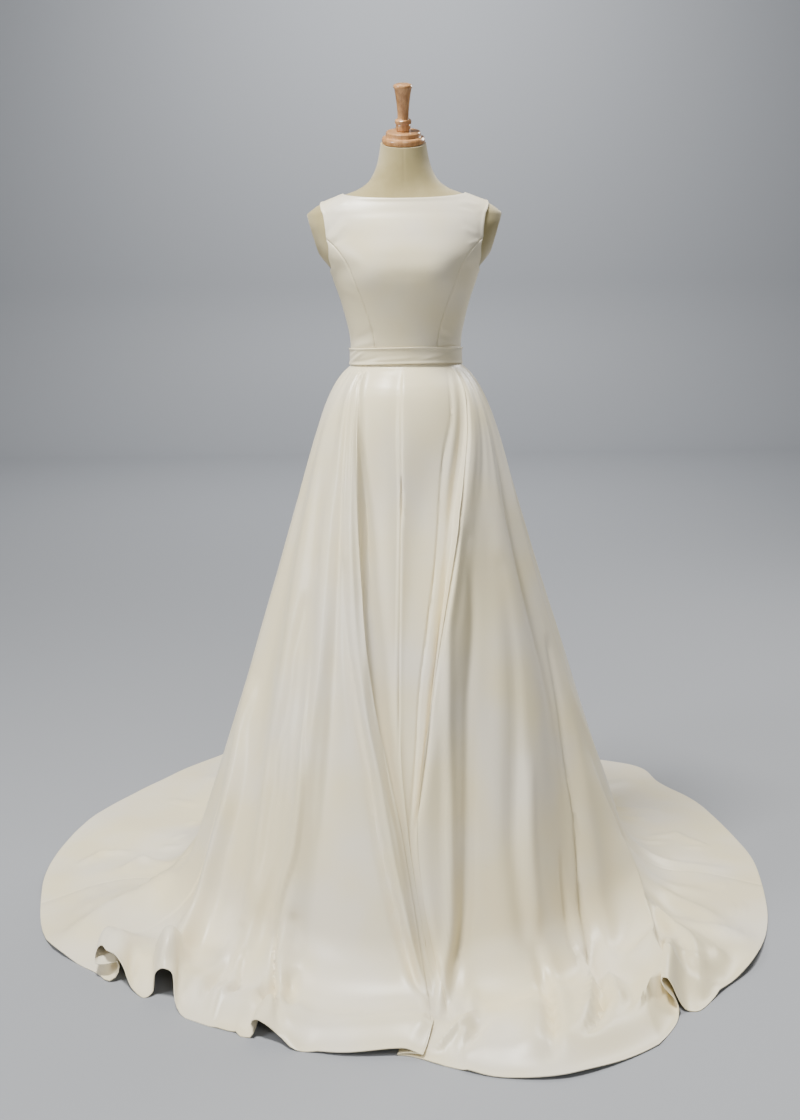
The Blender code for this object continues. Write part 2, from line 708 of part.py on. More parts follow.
def build_form_body(material):
    """The whole torso with its slanted shoulder ends and its neck."""
    bm = bmesh.new()
    rings = []
    for z in form_rows():
        angles = [360.0 * k / FORM_COLUMNS for k in range(FORM_COLUMNS)]
        signed = [a if a <= 180.0 else a - 360.0 for a in angles]
        rings.append([bm.verts.new(form_point(z, a)) for a in signed])
    for low, high in zip(rings, rings[1:]):
        for k in range(FORM_COLUMNS):
            n = (k + 1) % FORM_COLUMNS
            bm.faces.new((low[k], low[n], high[n], high[k]))
    bm.faces.new(rings[0][::-1])
    bm.faces.new(rings[-1])
    bmesh.ops.triangulate(bm, faces=bm.faces[:])
    bmesh.ops.recalc_face_normals(bm, faces=bm.faces[:])
    return add_object("form_body", bm, material)


def turned(profile, place):
    """A turned solid from radii and heights, set in place by a matrix."""
    bm = bmesh.new()
    verts = [bm.verts.new((r, 0.0, z)) for r, z in profile]
    edges = [bm.edges.new(pair) for pair in zip(verts, verts[1:])]
    bmesh.ops.spin(bm, geom=verts + edges, cent=(0, 0, 0), axis=(0, 0, 1), angle=math.tau,
                   steps=LATHE_STEPS, use_merge=True, use_duplicate=False)
    bmesh.ops.remove_doubles(bm, verts=bm.verts[:], dist=1e-5)
    bmesh.ops.triangulate(bm, faces=bm.faces[:])
    bmesh.ops.recalc_face_normals(bm, faces=bm.faces[:])
    bmesh.ops.transform(bm, matrix=place, verts=bm.verts[:])
    return bm


class Turning(NamedTuple):
    """A point of a turned outline."""

    radius: float
    height: float


NECK_CAP = (
    Turning(0, 0), Turning(0.0435, 0), Turning(0.0448, 0.0015), Turning(0.0448, 0.0120),
    Turning(0.0430, 0.0140), Turning(0.0356, 0.0145), Turning(0.0352, 0.0235),
    Turning(0.0335, 0.0255), Turning(0, 0.0255),
)
FINIAL = (
    Turning(0, 0), Turning(0.0148, 0), Turning(0.0154, 0.007), Turning(0.0147, 0.0135),
    Turning(0.0166, 0.0152), Turning(0.0174, 0.0195), Turning(0.0166, 0.0240),
    Turning(0.0124, 0.0258), Turning(0.0114, 0.0305), Turning(0.0120, 0.0430),
    Turning(0.0145, 0.0640), Turning(0.0174, 0.0820), Turning(0.0195, 0.0910),
    Turning(0.0197, 0.0950), Turning(0.0185, 0.0975), Turning(0, 0.0985),
)
STAND_BASE = (
    Turning(0, 0), Turning(0.178, 0), Turning(0.180, 0.002), Turning(0.180, 0.008),
    Turning(0.174, 0.0125), Turning(0.060, 0.0155), Turning(0.030, 0.0200), Turning(0, 0.0200),
)
STAND_POLE = (
    Turning(0, 0.0203), Turning(0.0145, 0.0203), Turning(0.0145, 0.7397), Turning(0, 0.7397),
)
FORM_PLUG = (
    Turning(0, 0.7400), Turning(0.060, 0.7400), Turning(0.092, 0.7440), Turning(0.096, 0.7480),
    Turning(0.096, 0.7597), Turning(0, 0.7597),
)


def build_stand_and_turnings(materials):
    neck = Vector((0.0, 0.0, NECK_CAP_Z + SEAM_GAP))
    tilt = Matrix.Translation(neck) @ Matrix.Rotation(NECK_TILT, 4, "X")
    raised = tilt @ Matrix.Translation((0.0, 0.0, NECK_CAP[-1].height + SEAM_GAP))
    level = Matrix.Identity(4)
    add_object("neck_cap", turned(NECK_CAP, tilt), materials["wood"])
    add_object("finial", turned(FINIAL, raised), materials["wood"])
    add_object("form_plug", turned(FORM_PLUG, level), materials["wood"])
    add_object("stand_pole", turned(STAND_POLE, level), materials["stand_metal"])
    add_object("stand_base", turned(STAND_BASE, level), materials["stand_metal"])


def main():
    clear_scene()
    materials = {name: make_material(name) for name in MATERIALS}
    satin = materials["satin"]
    build_form_body(materials["form_cover"])
    build_stand_and_turnings(materials)
    build_bodice_front(satin)
    for side, word in ((-1, "left"), (1, "right")):
        build_side_panel(side, True, f"bodice_side_front_{word}", satin)
        build_side_panel(side, False, f"bodice_side_back_{word}", satin)
    build_back(-1, "bodice_back_left", satin)
    build_back(1, "bodice_back_right", satin)
    build_back_zip(satin)
    build_belt(satin)
    skirt = Skirt()
    build_skirt_panel(skirt, "skirt_front", LEFT_SEAM, RIGHT_SEAM, satin)
    build_skirt_panel(skirt, "skirt_back_left", FIRST_LABEL, LEFT_SEAM, satin)
    build_skirt_panel(skirt, "skirt_back_right", RIGHT_SEAM, LAST_LABEL, satin)


main()
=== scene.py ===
"""Looks of a wedding dress with a sweep train, worn on a limbless dress form.

Metres, +Z up, and the dress faces -Y.  Azimuths are in degrees round the axis: 0 is the
front, +90 the viewer's right, 180 the back.
"""
import logging
import math
from dataclasses import dataclass, field
from enum import Enum
from typing import Callable, NamedTuple, Sequence

import bmesh
import bpy
import numpy as np
from mathutils import Matrix, Vector


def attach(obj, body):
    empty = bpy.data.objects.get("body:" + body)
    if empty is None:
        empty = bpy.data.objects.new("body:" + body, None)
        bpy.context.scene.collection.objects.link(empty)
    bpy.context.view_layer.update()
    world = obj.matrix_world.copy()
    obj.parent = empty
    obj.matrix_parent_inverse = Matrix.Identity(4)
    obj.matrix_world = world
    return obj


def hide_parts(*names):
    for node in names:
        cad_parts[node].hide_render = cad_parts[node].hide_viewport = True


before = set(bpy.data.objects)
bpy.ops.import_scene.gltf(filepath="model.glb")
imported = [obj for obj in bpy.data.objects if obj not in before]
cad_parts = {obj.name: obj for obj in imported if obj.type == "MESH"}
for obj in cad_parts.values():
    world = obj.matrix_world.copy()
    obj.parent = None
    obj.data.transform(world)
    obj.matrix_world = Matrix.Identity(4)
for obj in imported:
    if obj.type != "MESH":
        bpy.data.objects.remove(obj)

LOG = logging.getLogger("wedding_dress")
BODY = "root"
WAIST_Z = 1.0925
BELT_HEIGHT = 0.035
CLOTH = 0.0015
SEAM_GAP = 0.0003
EDGE_ROLL = 0.0005
ROLL_ANGLE = math.radians(65)
PULL_FADE = (0.25, 0.5)
TINY = 1e-6
Grid = np.ndarray
Surface = Callable[[Grid, Grid], Grid]
Socket = bpy.types.NodeSocket
Colour = tuple[float, float, float]


class Side(Enum):
    """Which half of the dress a mirrored piece belongs to, by the viewer's left and right."""

    LEFT = -1
    RIGHT = 1


class Face(Enum):
    """Whether a side panel of the bodice lies in front of the side seam or behind it."""

    FRONT = "front"
    BACK = "back"


def ease(x: Grid) -> Grid:
    """Steps smoothly from 0 to 1."""
    x = np.clip(x, 0.0, 1.0)
    return x * x * (3.0 - 2.0 * x)


def bump(x: Grid) -> Grid:
    """Rises softly from 0 to 1 at x = 0 and falls back, over about 2 to each side."""
    return np.exp(-x * x)


def gentle_slopes(xs: Grid, ys: Grid) -> Grid:
    """Slopes at the points of a table, or of one table for each column, without overshoot.

    Args:
        xs: Places, in rising order.
        ys: Values at the places.

    Returns:
        A slope for each value.
    """
    rises = np.diff(ys, axis=0) / np.diff(xs, axis=0)
    before, after = rises[:-1], rises[1:]
    both = before * after
    inner = np.where(both > 0, 2 * both / np.where(both > 0, before + after, 1.0), 0.0)
    return np.concatenate((rises[:1], inner, rises[-1:]))


def cubic(t: Grid, a: Grid, b: Grid, da: Grid, db: Grid) -> Grid:
    """Runs from a to b with the slopes da and db at its ends, as t goes from 0 to 1."""
    return a + t * (da + t * (3 * (b - a) - 2 * da - db + t * (2 * (a - b) + da + db)))


class Curve:
    """A smooth curve through a table, which never overshoots its points."""

    def __init__(self, xs: Sequence[float], ys: Sequence[float]) -> None:
        """Works out the slope at each point of the table.

        Args:
            xs: Places, in rising order.
            ys: The curve's value at each place.
        """
        self.xs = np.asarray(xs, float)
        self.ys = np.asarray(ys, float)
        self.slopes = gentle_slopes(self.xs, self.ys)

    def __call__(self, x: Grid) -> Grid:
        """Reads the curve.

        Args:
            x: Places to read, of any shape.

        Returns:
            The values, in the same shape.
        """
        i = np.clip(np.searchsorted(self.xs, x) - 1, 0, len(self.xs) - 2)
        width = self.xs[i + 1] - self.xs[i]
        t = np.clip((x - self.xs[i]) / width, 0.0, 1.0)
        return cubic(t, self.ys[i], self.ys[i + 1],
                     self.slopes[i] * width, self.slopes[i + 1] * width)


def table(kind: Callable[..., NamedTuple], rows: Sequence[Sequence[float]]) -> tuple:
    """The rows of a table as named tuples of a kind."""
    return tuple(kind(*row) for row in rows)


def table_curve(rows: Sequence[NamedTuple], x: str, y: str) -> Curve:
    """A smooth curve through two columns of a table."""
    return Curve([getattr(row, x) for row in rows], [getattr(row, y) for row in rows])


def unit(vectors: Grid) -> Grid:
    """Vectors of length one in the same directions."""
    return vectors / np.linalg.norm(vectors, axis=-1, keepdims=True)


def beside_line(x: Grid, y: Grid, start: Sequence[float],
                end: Sequence[float]) -> tuple[Grid, Grid]:
    """Where points lie beside a line on the flat.

    Args:
        x: First value of the points.
        y: Second value.
        start: The line's start.
        end: The line's end.

    Returns:
        The share of the way along the line, and the distance to its right.
    """
    along = np.subtract(end, start)
    length = float(np.hypot(*along))
    share = ((x - start[0]) * along[0] + (y - start[1]) * along[1]) / length ** 2
    return share, ((x - start[0]) * along[1] - (y - start[1]) * along[0]) / length


def fade_ends(share: Grid, fade: tuple[float, float]) -> Grid:
    """1 along a line, falling softly to 0 by a margin past each end, over a length."""
    margin, length = fade
    return ease((share + margin) / length) * ease((1.0 + margin - share) / length)


def on_plan(azimuth: Grid, radius: Grid) -> tuple[Grid, Grid]:
    """The x and y of places at a radius and an azimuth in degrees."""
    a = np.radians(azimuth)
    return radius * np.sin(a), -radius * np.cos(a)


def spaced(places: Grid, weight: Grid, count: int) -> Grid:
    """Picks places that lie closer together where the weight is larger."""
    summed = np.concatenate(((0.0,), np.cumsum(0.5 * (weight[1:] + weight[:-1]))))
    return np.interp(np.linspace(0.0, summed[-1], count), summed, places)


# Finishes


@dataclass(frozen=True)
class NodeKit:
    """Short calls for building one material's nodes."""

    material: bpy.types.Material

    def add(self, kind: str, **settings: object) -> bpy.types.Node:
        """Adds a node.

        Args:
            kind: The node's type name.
            **settings: Attributes or input sockets (spaces as underscores) and their values.

        Returns:
            The new node.
        """
        node = self.material.node_tree.nodes.new(kind)
        for name, value in settings.items():
            if hasattr(node, name):
                setattr(node, name, value)
            else:
                node.inputs[name.replace("_", " ")].default_value = value
        return node

    def join(self, source: Socket, target: Socket) -> None:
        """Links two sockets."""
        self.material.node_tree.links.new(source, target)

    @property
    def shader(self) -> bpy.types.Node:
        """The material's Principled shader."""
        return self.material.node_tree.nodes["Principled BSDF"]

    def set_shader(self, **settings: object) -> None:
        """Sets the shader's own sockets, whose names have underscores for spaces."""
        for name, value in settings.items():
            self.shader.inputs[name.replace("_", " ")].default_value = value

    def noise(self, place: Socket, scale: float, detail: float, roughness: float = 0.5,
              distortion: float = 0.0) -> Socket:
        """Cloudy noise.

        Args:
            place: The coordinates that it reads.
            scale: Clouds to the metre.
            detail: How many finer layers it has.
            roughness: How strong the finer layers are.
            distortion: How far the clouds are pulled about.

        Returns:
            The noise, from 0 to 1.
        """
        node = self.add("ShaderNodeTexNoise", Scale=scale, Detail=detail, Roughness=roughness,
                        Distortion=distortion)
        self.join(place, node.inputs["Vector"])
        return node.outputs["Fac"]

    def tint(self, factor: Socket, places: tuple[float, float], low: Colour,
             high: Colour) -> Socket:
        """A colour that runs from low to high between two values of a factor.

        Args:
            factor: What the colour follows.
            places: The two values.
            low: Colour up to the first.
            high: Colour from the second.

        Returns:
            The colour.
        """
        node = self.add("ShaderNodeValToRGB")
        for element, place, colour in zip(node.color_ramp.elements, places, (low, high)):
            element.position = place
            element.color = (*colour, 1.0)
        self.join(factor, node.inputs["Fac"])
        return node.outputs["Color"]

    def relief(self, height: Socket, strength: float, depth: float,
               under: Socket | None = None) -> Socket:
        """A normal for a relief, laid over another one where that is given.

        Args:
            height: The relief's height, from 0 to 1.
            strength: How much of it shows.
            depth: Its depth in metres.
            under: The other relief's normal.

        Returns:
            The normal.
        """
        node = self.add("ShaderNodeBump", Strength=strength, Distance=depth)
        self.join(height, node.inputs["Height"])
        if under is not None:
            self.join(under, node.inputs["Normal"])
        return node.outputs["Normal"]

    def dress(self, colour: Socket, normal: Socket) -> bpy.types.Material:
        """Gives the shader its colour and its normal, and hands over the material.

        Args:
            colour: The colour.
            normal: The normal.

        Returns:
            The material.
        """
        self.join(colour, self.shader.inputs["Base Color"])
        self.join(normal, self.shader.inputs["Normal"])
        return self.material


def new_material(name: str) -> NodeKit:
    """An empty Principled material and its kit.

    Args:
        name: The material's name.
    """
    material = bpy.data.materials.new(name)
    material.use_nodes = True
    return NodeKit(material)


@dataclass(frozen=True)
class SatinFinish:
    """Heavy bridal satin: a soft gloss over a fine weave, with faint slubs and shading."""

    colour: Colour = (0.81, 0.715, 0.47)
    cool: Colour = (0.80, 0.735, 0.585)
    cool_range: tuple[float, float] = (0.38, 0.60)
    patches: float = 5.0
    roughness: float = 0.36
    sheen: float = 0.15
    sheen_roughness: float = 0.45
    anisotropy: float = 0.35
    specular: float = 0.45
    thread: float = 0.00055
    thread_stretch: float = 0.25
    twill: float = 0.32
    weave_depth: float = 0.05
    slub_size: float = 0.012
    slub_depth: float = 0.10

    def build(self) -> bpy.types.Material:
        """The satin, which reads the piece's own UV map in metres of cloth.

        Returns:
            The material.
        """
        kit = new_material("bridal_satin")
        kit.set_shader(Roughness=self.roughness, Sheen_Weight=self.sheen,
                       Sheen_Roughness=self.sheen_roughness, Anisotropic=self.anisotropy,
                       Specular_IOR_Level=self.specular)
        place = kit.add("ShaderNodeTexCoord")
        clouds = kit.noise(place.outputs["Object"], self.patches, detail=2.0)
        scale = kit.add("ShaderNodeMapping")
        scale.inputs["Scale"].default_value = (1.0 / self.thread,
                                               self.thread_stretch / self.thread, 1.0)
        kit.join(place.outputs["UV"], scale.inputs["Vector"])
        weave = kit.add("ShaderNodeTexWave", wave_type="BANDS", bands_direction="DIAGONAL",
                        Scale=self.twill, Distortion=0.6, Detail=1.0)
        kit.join(scale.outputs["Vector"], weave.inputs["Vector"])
        slub = kit.noise(place.outputs["Object"], 1.0 / self.slub_size, detail=3.0,
                         roughness=0.6)
        fine = kit.relief(weave.outputs["Fac"], self.weave_depth, depth=0.0002)
        return kit.dress(kit.tint(clouds, self.cool_range, self.cool, self.colour),
                         kit.relief(slub, self.slub_depth, depth=0.0012, under=fine))


@dataclass(frozen=True)
class CoverFinish:
    """Matt cream jersey stretched over the form, slightly soiled where it is handled."""

    colour: Colour = (0.30, 0.24, 0.088)
    pale: Colour = (0.385, 0.315, 0.14)
    pale_range: tuple[float, float] = (0.35, 0.65)
    clouds: float = 9.0
    roughness: float = 0.88
    sheen: float = 0.35
    sheen_roughness: float = 0.6
    stitch: float = 0.0016
    stitch_depth: float = 0.25

    def build(self) -> bpy.types.Material:
        """The jersey, with a knitted bump and cloudy tint in Object coordinates.

        Returns:
            The material.
        """
        kit = new_material("cream_jersey")
        kit.set_shader(Roughness=self.roughness, Sheen_Weight=self.sheen,
                       Sheen_Roughness=self.sheen_roughness)
        place = kit.add("ShaderNodeTexCoord").outputs["Object"]
        soil = kit.noise(place, self.clouds, detail=5.0, roughness=0.6)
        knit = kit.add("ShaderNodeTexVoronoi", Scale=1.0 / self.stitch, Randomness=0.5)
        kit.join(place, knit.inputs["Vector"])
        return kit.dress(kit.tint(soil, self.pale_range, self.colour, self.pale),
                         kit.relief(knit.outputs["Distance"], self.stitch_depth, depth=0.0005))


@dataclass(frozen=True)
class WoodFinish:
    """Turned beech under clear varnish, with straight grain and short dark flecks."""

    light: Colour = (0.56, 0.30, 0.125)
    dark: Colour = (0.38, 0.175, 0.06)
    light_range: tuple[float, float] = (0.32, 0.62)
    fleck: Colour = (0.62, 0.55, 0.48)
    fleck_range: tuple[float, float] = (0.30, 0.42)
    grain_stretch: float = 0.07
    grain_tilt: float = math.radians(18)
    grain_scale: float = 150.0
    fleck_scale: float = 900.0
    grain_depth: float = 0.12
    roughness: float = 0.30
    coat: float = 0.6
    coat_roughness: float = 0.12

    def build(self) -> bpy.types.Material:
        """The wood, whose grain runs along Z in Object coordinates.

        Returns:
            The material.
        """
        kit = new_material("varnished_beech")
        kit.set_shader(Roughness=self.roughness, Coat_Weight=self.coat,
                       Coat_Roughness=self.coat_roughness)
        place = kit.add("ShaderNodeTexCoord")
        along = kit.add("ShaderNodeMapping")
        along.inputs["Scale"].default_value = (1.0, 1.0, self.grain_stretch)
        along.inputs["Rotation"].default_value = (self.grain_tilt, 0.0, 0.0)
        kit.join(place.outputs["Object"], along.inputs["Vector"])
        rings = kit.noise(along.outputs["Vector"], self.grain_scale, detail=4.0,
                          roughness=0.55, distortion=0.4)
        flecks = kit.noise(along.outputs["Vector"], self.fleck_scale, detail=2.0)
        mix = kit.add("ShaderNodeMix", data_type="RGBA", blend_type="MULTIPLY")
        mix.inputs[0].default_value = 1.0
        kit.join(kit.tint(rings, self.light_range, self.dark, self.light), mix.inputs[6])
        kit.join(kit.tint(flecks, self.fleck_range, self.fleck, (1.0, 1.0, 1.0)), mix.inputs[7])
        return kit.dress(mix.outputs[2], kit.relief(rings, self.grain_depth, depth=0.0004))


@dataclass(frozen=True)
class StandFinish:
    """Satin black paint on steel, slightly uneven in its gloss."""

    colour: Colour = (0.035, 0.035, 0.038)
    shiniest: float = 0.32
    dullest: float = 0.46
    clouds: float = 30.0
    peel: float = 700.0
    peel_depth: float = 0.08

    def build(self) -> bpy.types.Material:
        """The paint, with a fine orange-peel bump and cloudy gloss.

        Returns:
            The material.
        """
        kit = new_material("black_stand_paint")
        kit.set_shader(Base_Color=(*self.colour, 1.0))
        place = kit.add("ShaderNodeTexCoord").outputs["Object"]
        gloss = kit.add("ShaderNodeMapRange", To_Min=self.shiniest, To_Max=self.dullest)
        kit.join(kit.noise(place, self.clouds, detail=3.0), gloss.inputs["Value"])
        kit.join(gloss.outputs["Result"], kit.shader.inputs["Roughness"])
        peel = kit.noise(place, self.peel, detail=2.0)
        kit.join(kit.relief(peel, self.peel_depth, depth=0.0003), kit.shader.inputs["Normal"])
        return kit.material


@dataclass(frozen=True)
class FloorFinish:
    """A plain pale studio floor."""

    colour: Colour = (0.30, 0.31, 0.33)
    roughness: float = 0.6

    def build(self) -> bpy.types.Material:
        """The floor's even, matt paint.

        Returns:
            The material.
        """
        kit = new_material("studio_floor")
        kit.set_shader(Base_Color=(*self.colour, 1.0), Roughness=self.roughness)
        return kit.material


# Meshes


def sheet_mesh(columns: Sequence[float], rows: Sequence[float], surface: Surface,
               across: float, down: float) -> bmesh.types.BMesh:
    """A sheet of cloth: a grid whose points are laid on a surface.

    Args:
        columns: The surface's first value at each grid column.
        rows: The surface's second value at each grid row.
        surface: Gives the points for arrays of both values.
        across: Metres of cloth for one unit of the first value, for the weave.
        down: Metres of cloth for one unit of the second value.

    Returns:
        The open sheet, with a UV map in metres of cloth.
    """
    bm = bmesh.new()
    bmesh.ops.create_grid(bm, x_segments=len(columns) - 1, y_segments=len(rows) - 1, size=0.5)
    flat = np.array([vert.co[:2] for vert in bm.verts]) + 0.5
    first = np.interp(flat[:, 0] * (len(columns) - 1), np.arange(len(columns)), columns)
    second = np.interp(flat[:, 1] * (len(rows) - 1), np.arange(len(rows)), rows)
    points = surface(first, second)
    for vert, point in zip(bm.verts, points):
        vert.co = point
    layer = bm.loops.layers.uv.new("cloth")
    bm.verts.index_update()
    for face in bm.faces:
        for loop in face.loops:
            i = loop.vert.index
            loop[layer].uv = (first[i] * across, second[i] * down)
    return bm


def add_piece(name: str, bm: bmesh.types.BMesh, material: bpy.types.Material,
              sharp: float = 60.0) -> bpy.types.Object:
    """Makes a piece of a bmesh, shades it smooth and lets it ride on the dress form.

    Args:
        name: The piece's name.
        bm: Its mesh, which is freed.
        material: Its finish.
        sharp: Edges whose faces meet at more degrees than this stay crisp.

    Returns:
        The new object, at the origin.
    """
    mesh = bpy.data.meshes.new(name)
    bm.to_mesh(mesh)
    bm.free()
    mesh.materials.append(material)
    mesh.shade_smooth()
    mesh.set_sharp_from_angle(angle=math.radians(sharp))
    piece = bpy.data.objects.new(name, mesh)
    bpy.context.scene.collection.objects.link(piece)
    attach(piece, BODY)
    LOG.info("%s: %d faces", name, len(mesh.polygons))
    return piece


def give_thickness(piece: bpy.types.Object, thickness: float, roll: float = EDGE_ROLL) -> None:
    """Gives a sheet its thickness, inwards, with a softly rolled edge.

    Args:
        piece: The sheet, whose faces point outwards.
        thickness: How thick the cloth is.
        roll: Width of the rounding at its edges, or 0 for none.
    """
    shell = piece.modifiers.new("thickness", "SOLIDIFY")
    shell.thickness = thickness
    shell.offset = -1.0
    if not roll:
        return
    edge = piece.modifiers.new("rolled_edge", "BEVEL")
    edge.width = roll
    edge.segments = 2
    edge.limit_method = "ANGLE"
    edge.angle_limit = ROLL_ANGLE


# The dress form


class Section(NamedTuple):
    """One level of the dress form."""

    z: float
    half_width: float
    front: float
    back: float


@dataclass
class FormShape:
    """The form's skin, which the bodice and the belt follow."""

    sections: tuple[Section, ...] = table(Section, (
        (0.760, 0.150, 0.104, 0.112), (0.820, 0.166, 0.114, 0.126), (0.900, 0.163, 0.111, 0.121),
        (0.980, 0.140, 0.099, 0.101), (1.040, 0.116, 0.087, 0.086), (1.070, 0.1112, 0.0845, 0.0828),
        (1.092, 0.1112, 0.0848, 0.0828), (1.125, 0.1125, 0.088, 0.083),
        (1.167, 0.1205, 0.097, 0.086), (1.210, 0.1320, 0.109, 0.092),
        (1.250, 0.1460, 0.1195, 0.097), (1.272, 0.1530, 0.1220, 0.099),
        (1.300, 0.1740, 0.1180, 0.101), (1.340, 0.1920, 0.1030, 0.101),
        (1.372, 0.2020, 0.0880, 0.096), (1.386, 0.2020, 0.0800, 0.090),
        (1.400, 0.1885, 0.0730, 0.083), (1.411, 0.1700, 0.0670, 0.077),
        (1.4275, 0.1250, 0.0590, 0.065), (1.440, 0.0935, 0.0545, 0.059),
        (1.455, 0.0735, 0.0515, 0.055), (1.474, 0.0620, 0.0495, 0.052),
        (1.495, 0.0545, 0.0485, 0.050), (1.515, 0.0505, 0.0478, 0.049),
        (1.5345, 0.0475, 0.0475, 0.0475),
    ))
    bust_x: float = 0.078
    bust_z: float = 1.262
    bust_rise: float = 0.007
    bust_spread: float = 0.044
    neck_start: float = 1.46
    top: float = 1.5345
    bottom: float = 0.76
    tilt: float = math.tan(math.radians(18))
    angle_step: float = 0.5
    height_step: float = 0.0015

    def __post_init__(self) -> None:
        """Draws the smooth curves through the sections."""
        self.half_width = table_curve(self.sections, "z", "half_width")
        self.front = table_curve(self.sections, "z", "front")
        self.back = table_curve(self.sections, "z", "back")

    def points(self, z: Grid, angle: Grid) -> Grid:
        """Points of the skin.

        Args:
            z: Heights.
            angle: Angles from the front, in degrees.

        Returns:
            The points, one row each.
        """
        a = np.radians(angle)
        x = self.half_width(z) * np.sin(a)
        facing = np.cos(a)
        bust = bump((z - self.bust_z) / self.bust_spread)
        sides = bump((np.abs(x) - self.bust_x) / self.bust_spread)
        front = -(self.front(z) + self.bust_rise * bust * sides) * facing
        y = np.where(facing > 0, front, -self.back(z) * facing)
        rise = ease((z - self.neck_start) / (self.top - self.neck_start)) * self.tilt
        return np.stack((x, y, z + y * rise), axis=-1)

    def offset(self, z: Grid, angle: Grid, distance: Grid) -> Grid:
        """Points that stand off the skin by a distance.

        Args:
            z: Heights.
            angle: Angles from the front, in degrees.
            distance: How far the points stand off.

        Returns:
            The points, one row each.
        """
        da, dz = self.angle_step, self.height_step
        around = self.points(z, angle + da) - self.points(z, angle - da)
        up = self.points(z + dz, angle) - self.points(z - dz, angle)
        return self.points(z, angle) + unit(np.cross(around, up)) * np.asarray(distance)[..., None]

    def angle_at(self, x: Grid, z: Grid) -> Grid:
        """The angle from the front at which a section is x wide of the axis."""
        return np.degrees(np.arcsin(np.minimum(x / self.half_width(z), 1.0)))

    def radius(self, z: Grid) -> Grid:
        """A section's usual distance from the axis, in front."""
        return 0.5 * (self.half_width(z) + self.front(z))

    def gap_angle(self, z: Grid, gap: float) -> Grid:
        """The angle that a gap takes up on a section."""
        return np.degrees(gap / self.radius(z))


@dataclass
class DressForm:
    """The cloth-covered torso, with its flat shoulder plates."""

    shape: FormShape
    columns: int = 144
    rows: int = 190
    plate_x: float = 0.2015
    plate_z: float = 1.386
    plate_lean: float = 0.30
    plate_low: float = 1.285
    piping: float = 0.0012
    piping_width: float = 0.002
    seam_depth: float = 0.0007
    seam_width: float = 0.0016
    side_seam_angle: float = 0.9
    metres_per_degree: float = 0.002

    def skin(self, angle: Grid, z: Grid) -> Grid:
        """The torso with its flat shoulder plates, piped rims and sewn seams.

        Args:
            angle: Angles from the front, in degrees.
            z: Heights.

        Returns:
            The points, one row each.
        """
        points = self.shape.points(z, angle)
        plate = self.plate_x + (z - self.plate_z) * self.plate_lean
        beyond = np.abs(points[:, 0]) - plate
        beyond = np.where(z > self.plate_low, beyond, -1.0)
        points[:, 0] -= np.sign(points[:, 0]) * np.maximum(beyond, 0.0)
        outward = unit(points * (1.0, 1.0, 0.0))
        rim = self.piping * bump(beyond / self.piping_width)
        seam = bump(np.abs(points[:, 0]) / self.seam_width)
        seam += bump((np.abs(angle) - 90.0) / self.side_seam_angle) * (z < self.plate_low)
        return points + outward * (rim - self.seam_depth * seam)[:, None]

    def build_torso(self, cover: bpy.types.Material) -> None:
        """Builds the torso's closed skin and dresses it in jersey.

        Args:
            cover: The jersey.
        """
        angles = np.linspace(-180.0, 180.0, self.columns + 1)
        heights = np.linspace(self.shape.bottom, self.shape.top, self.rows + 1)
        bm = sheet_mesh(angles, heights, self.skin, self.metres_per_degree, 1.0)
        bmesh.ops.remove_doubles(bm, verts=bm.verts[:], dist=TINY)
        rims = [edge for edge in bm.edges if edge.is_boundary]
        bmesh.ops.holes_fill(bm, edges=rims, sides=0)
        bmesh.ops.recalc_face_normals(bm, faces=bm.faces[:])
        torso = add_piece("form_torso", bm, cover, sharp=50.0)
        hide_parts("form_body")


class Turning(NamedTuple):
    """A point of a turned outline."""

    radius: float
    height: float


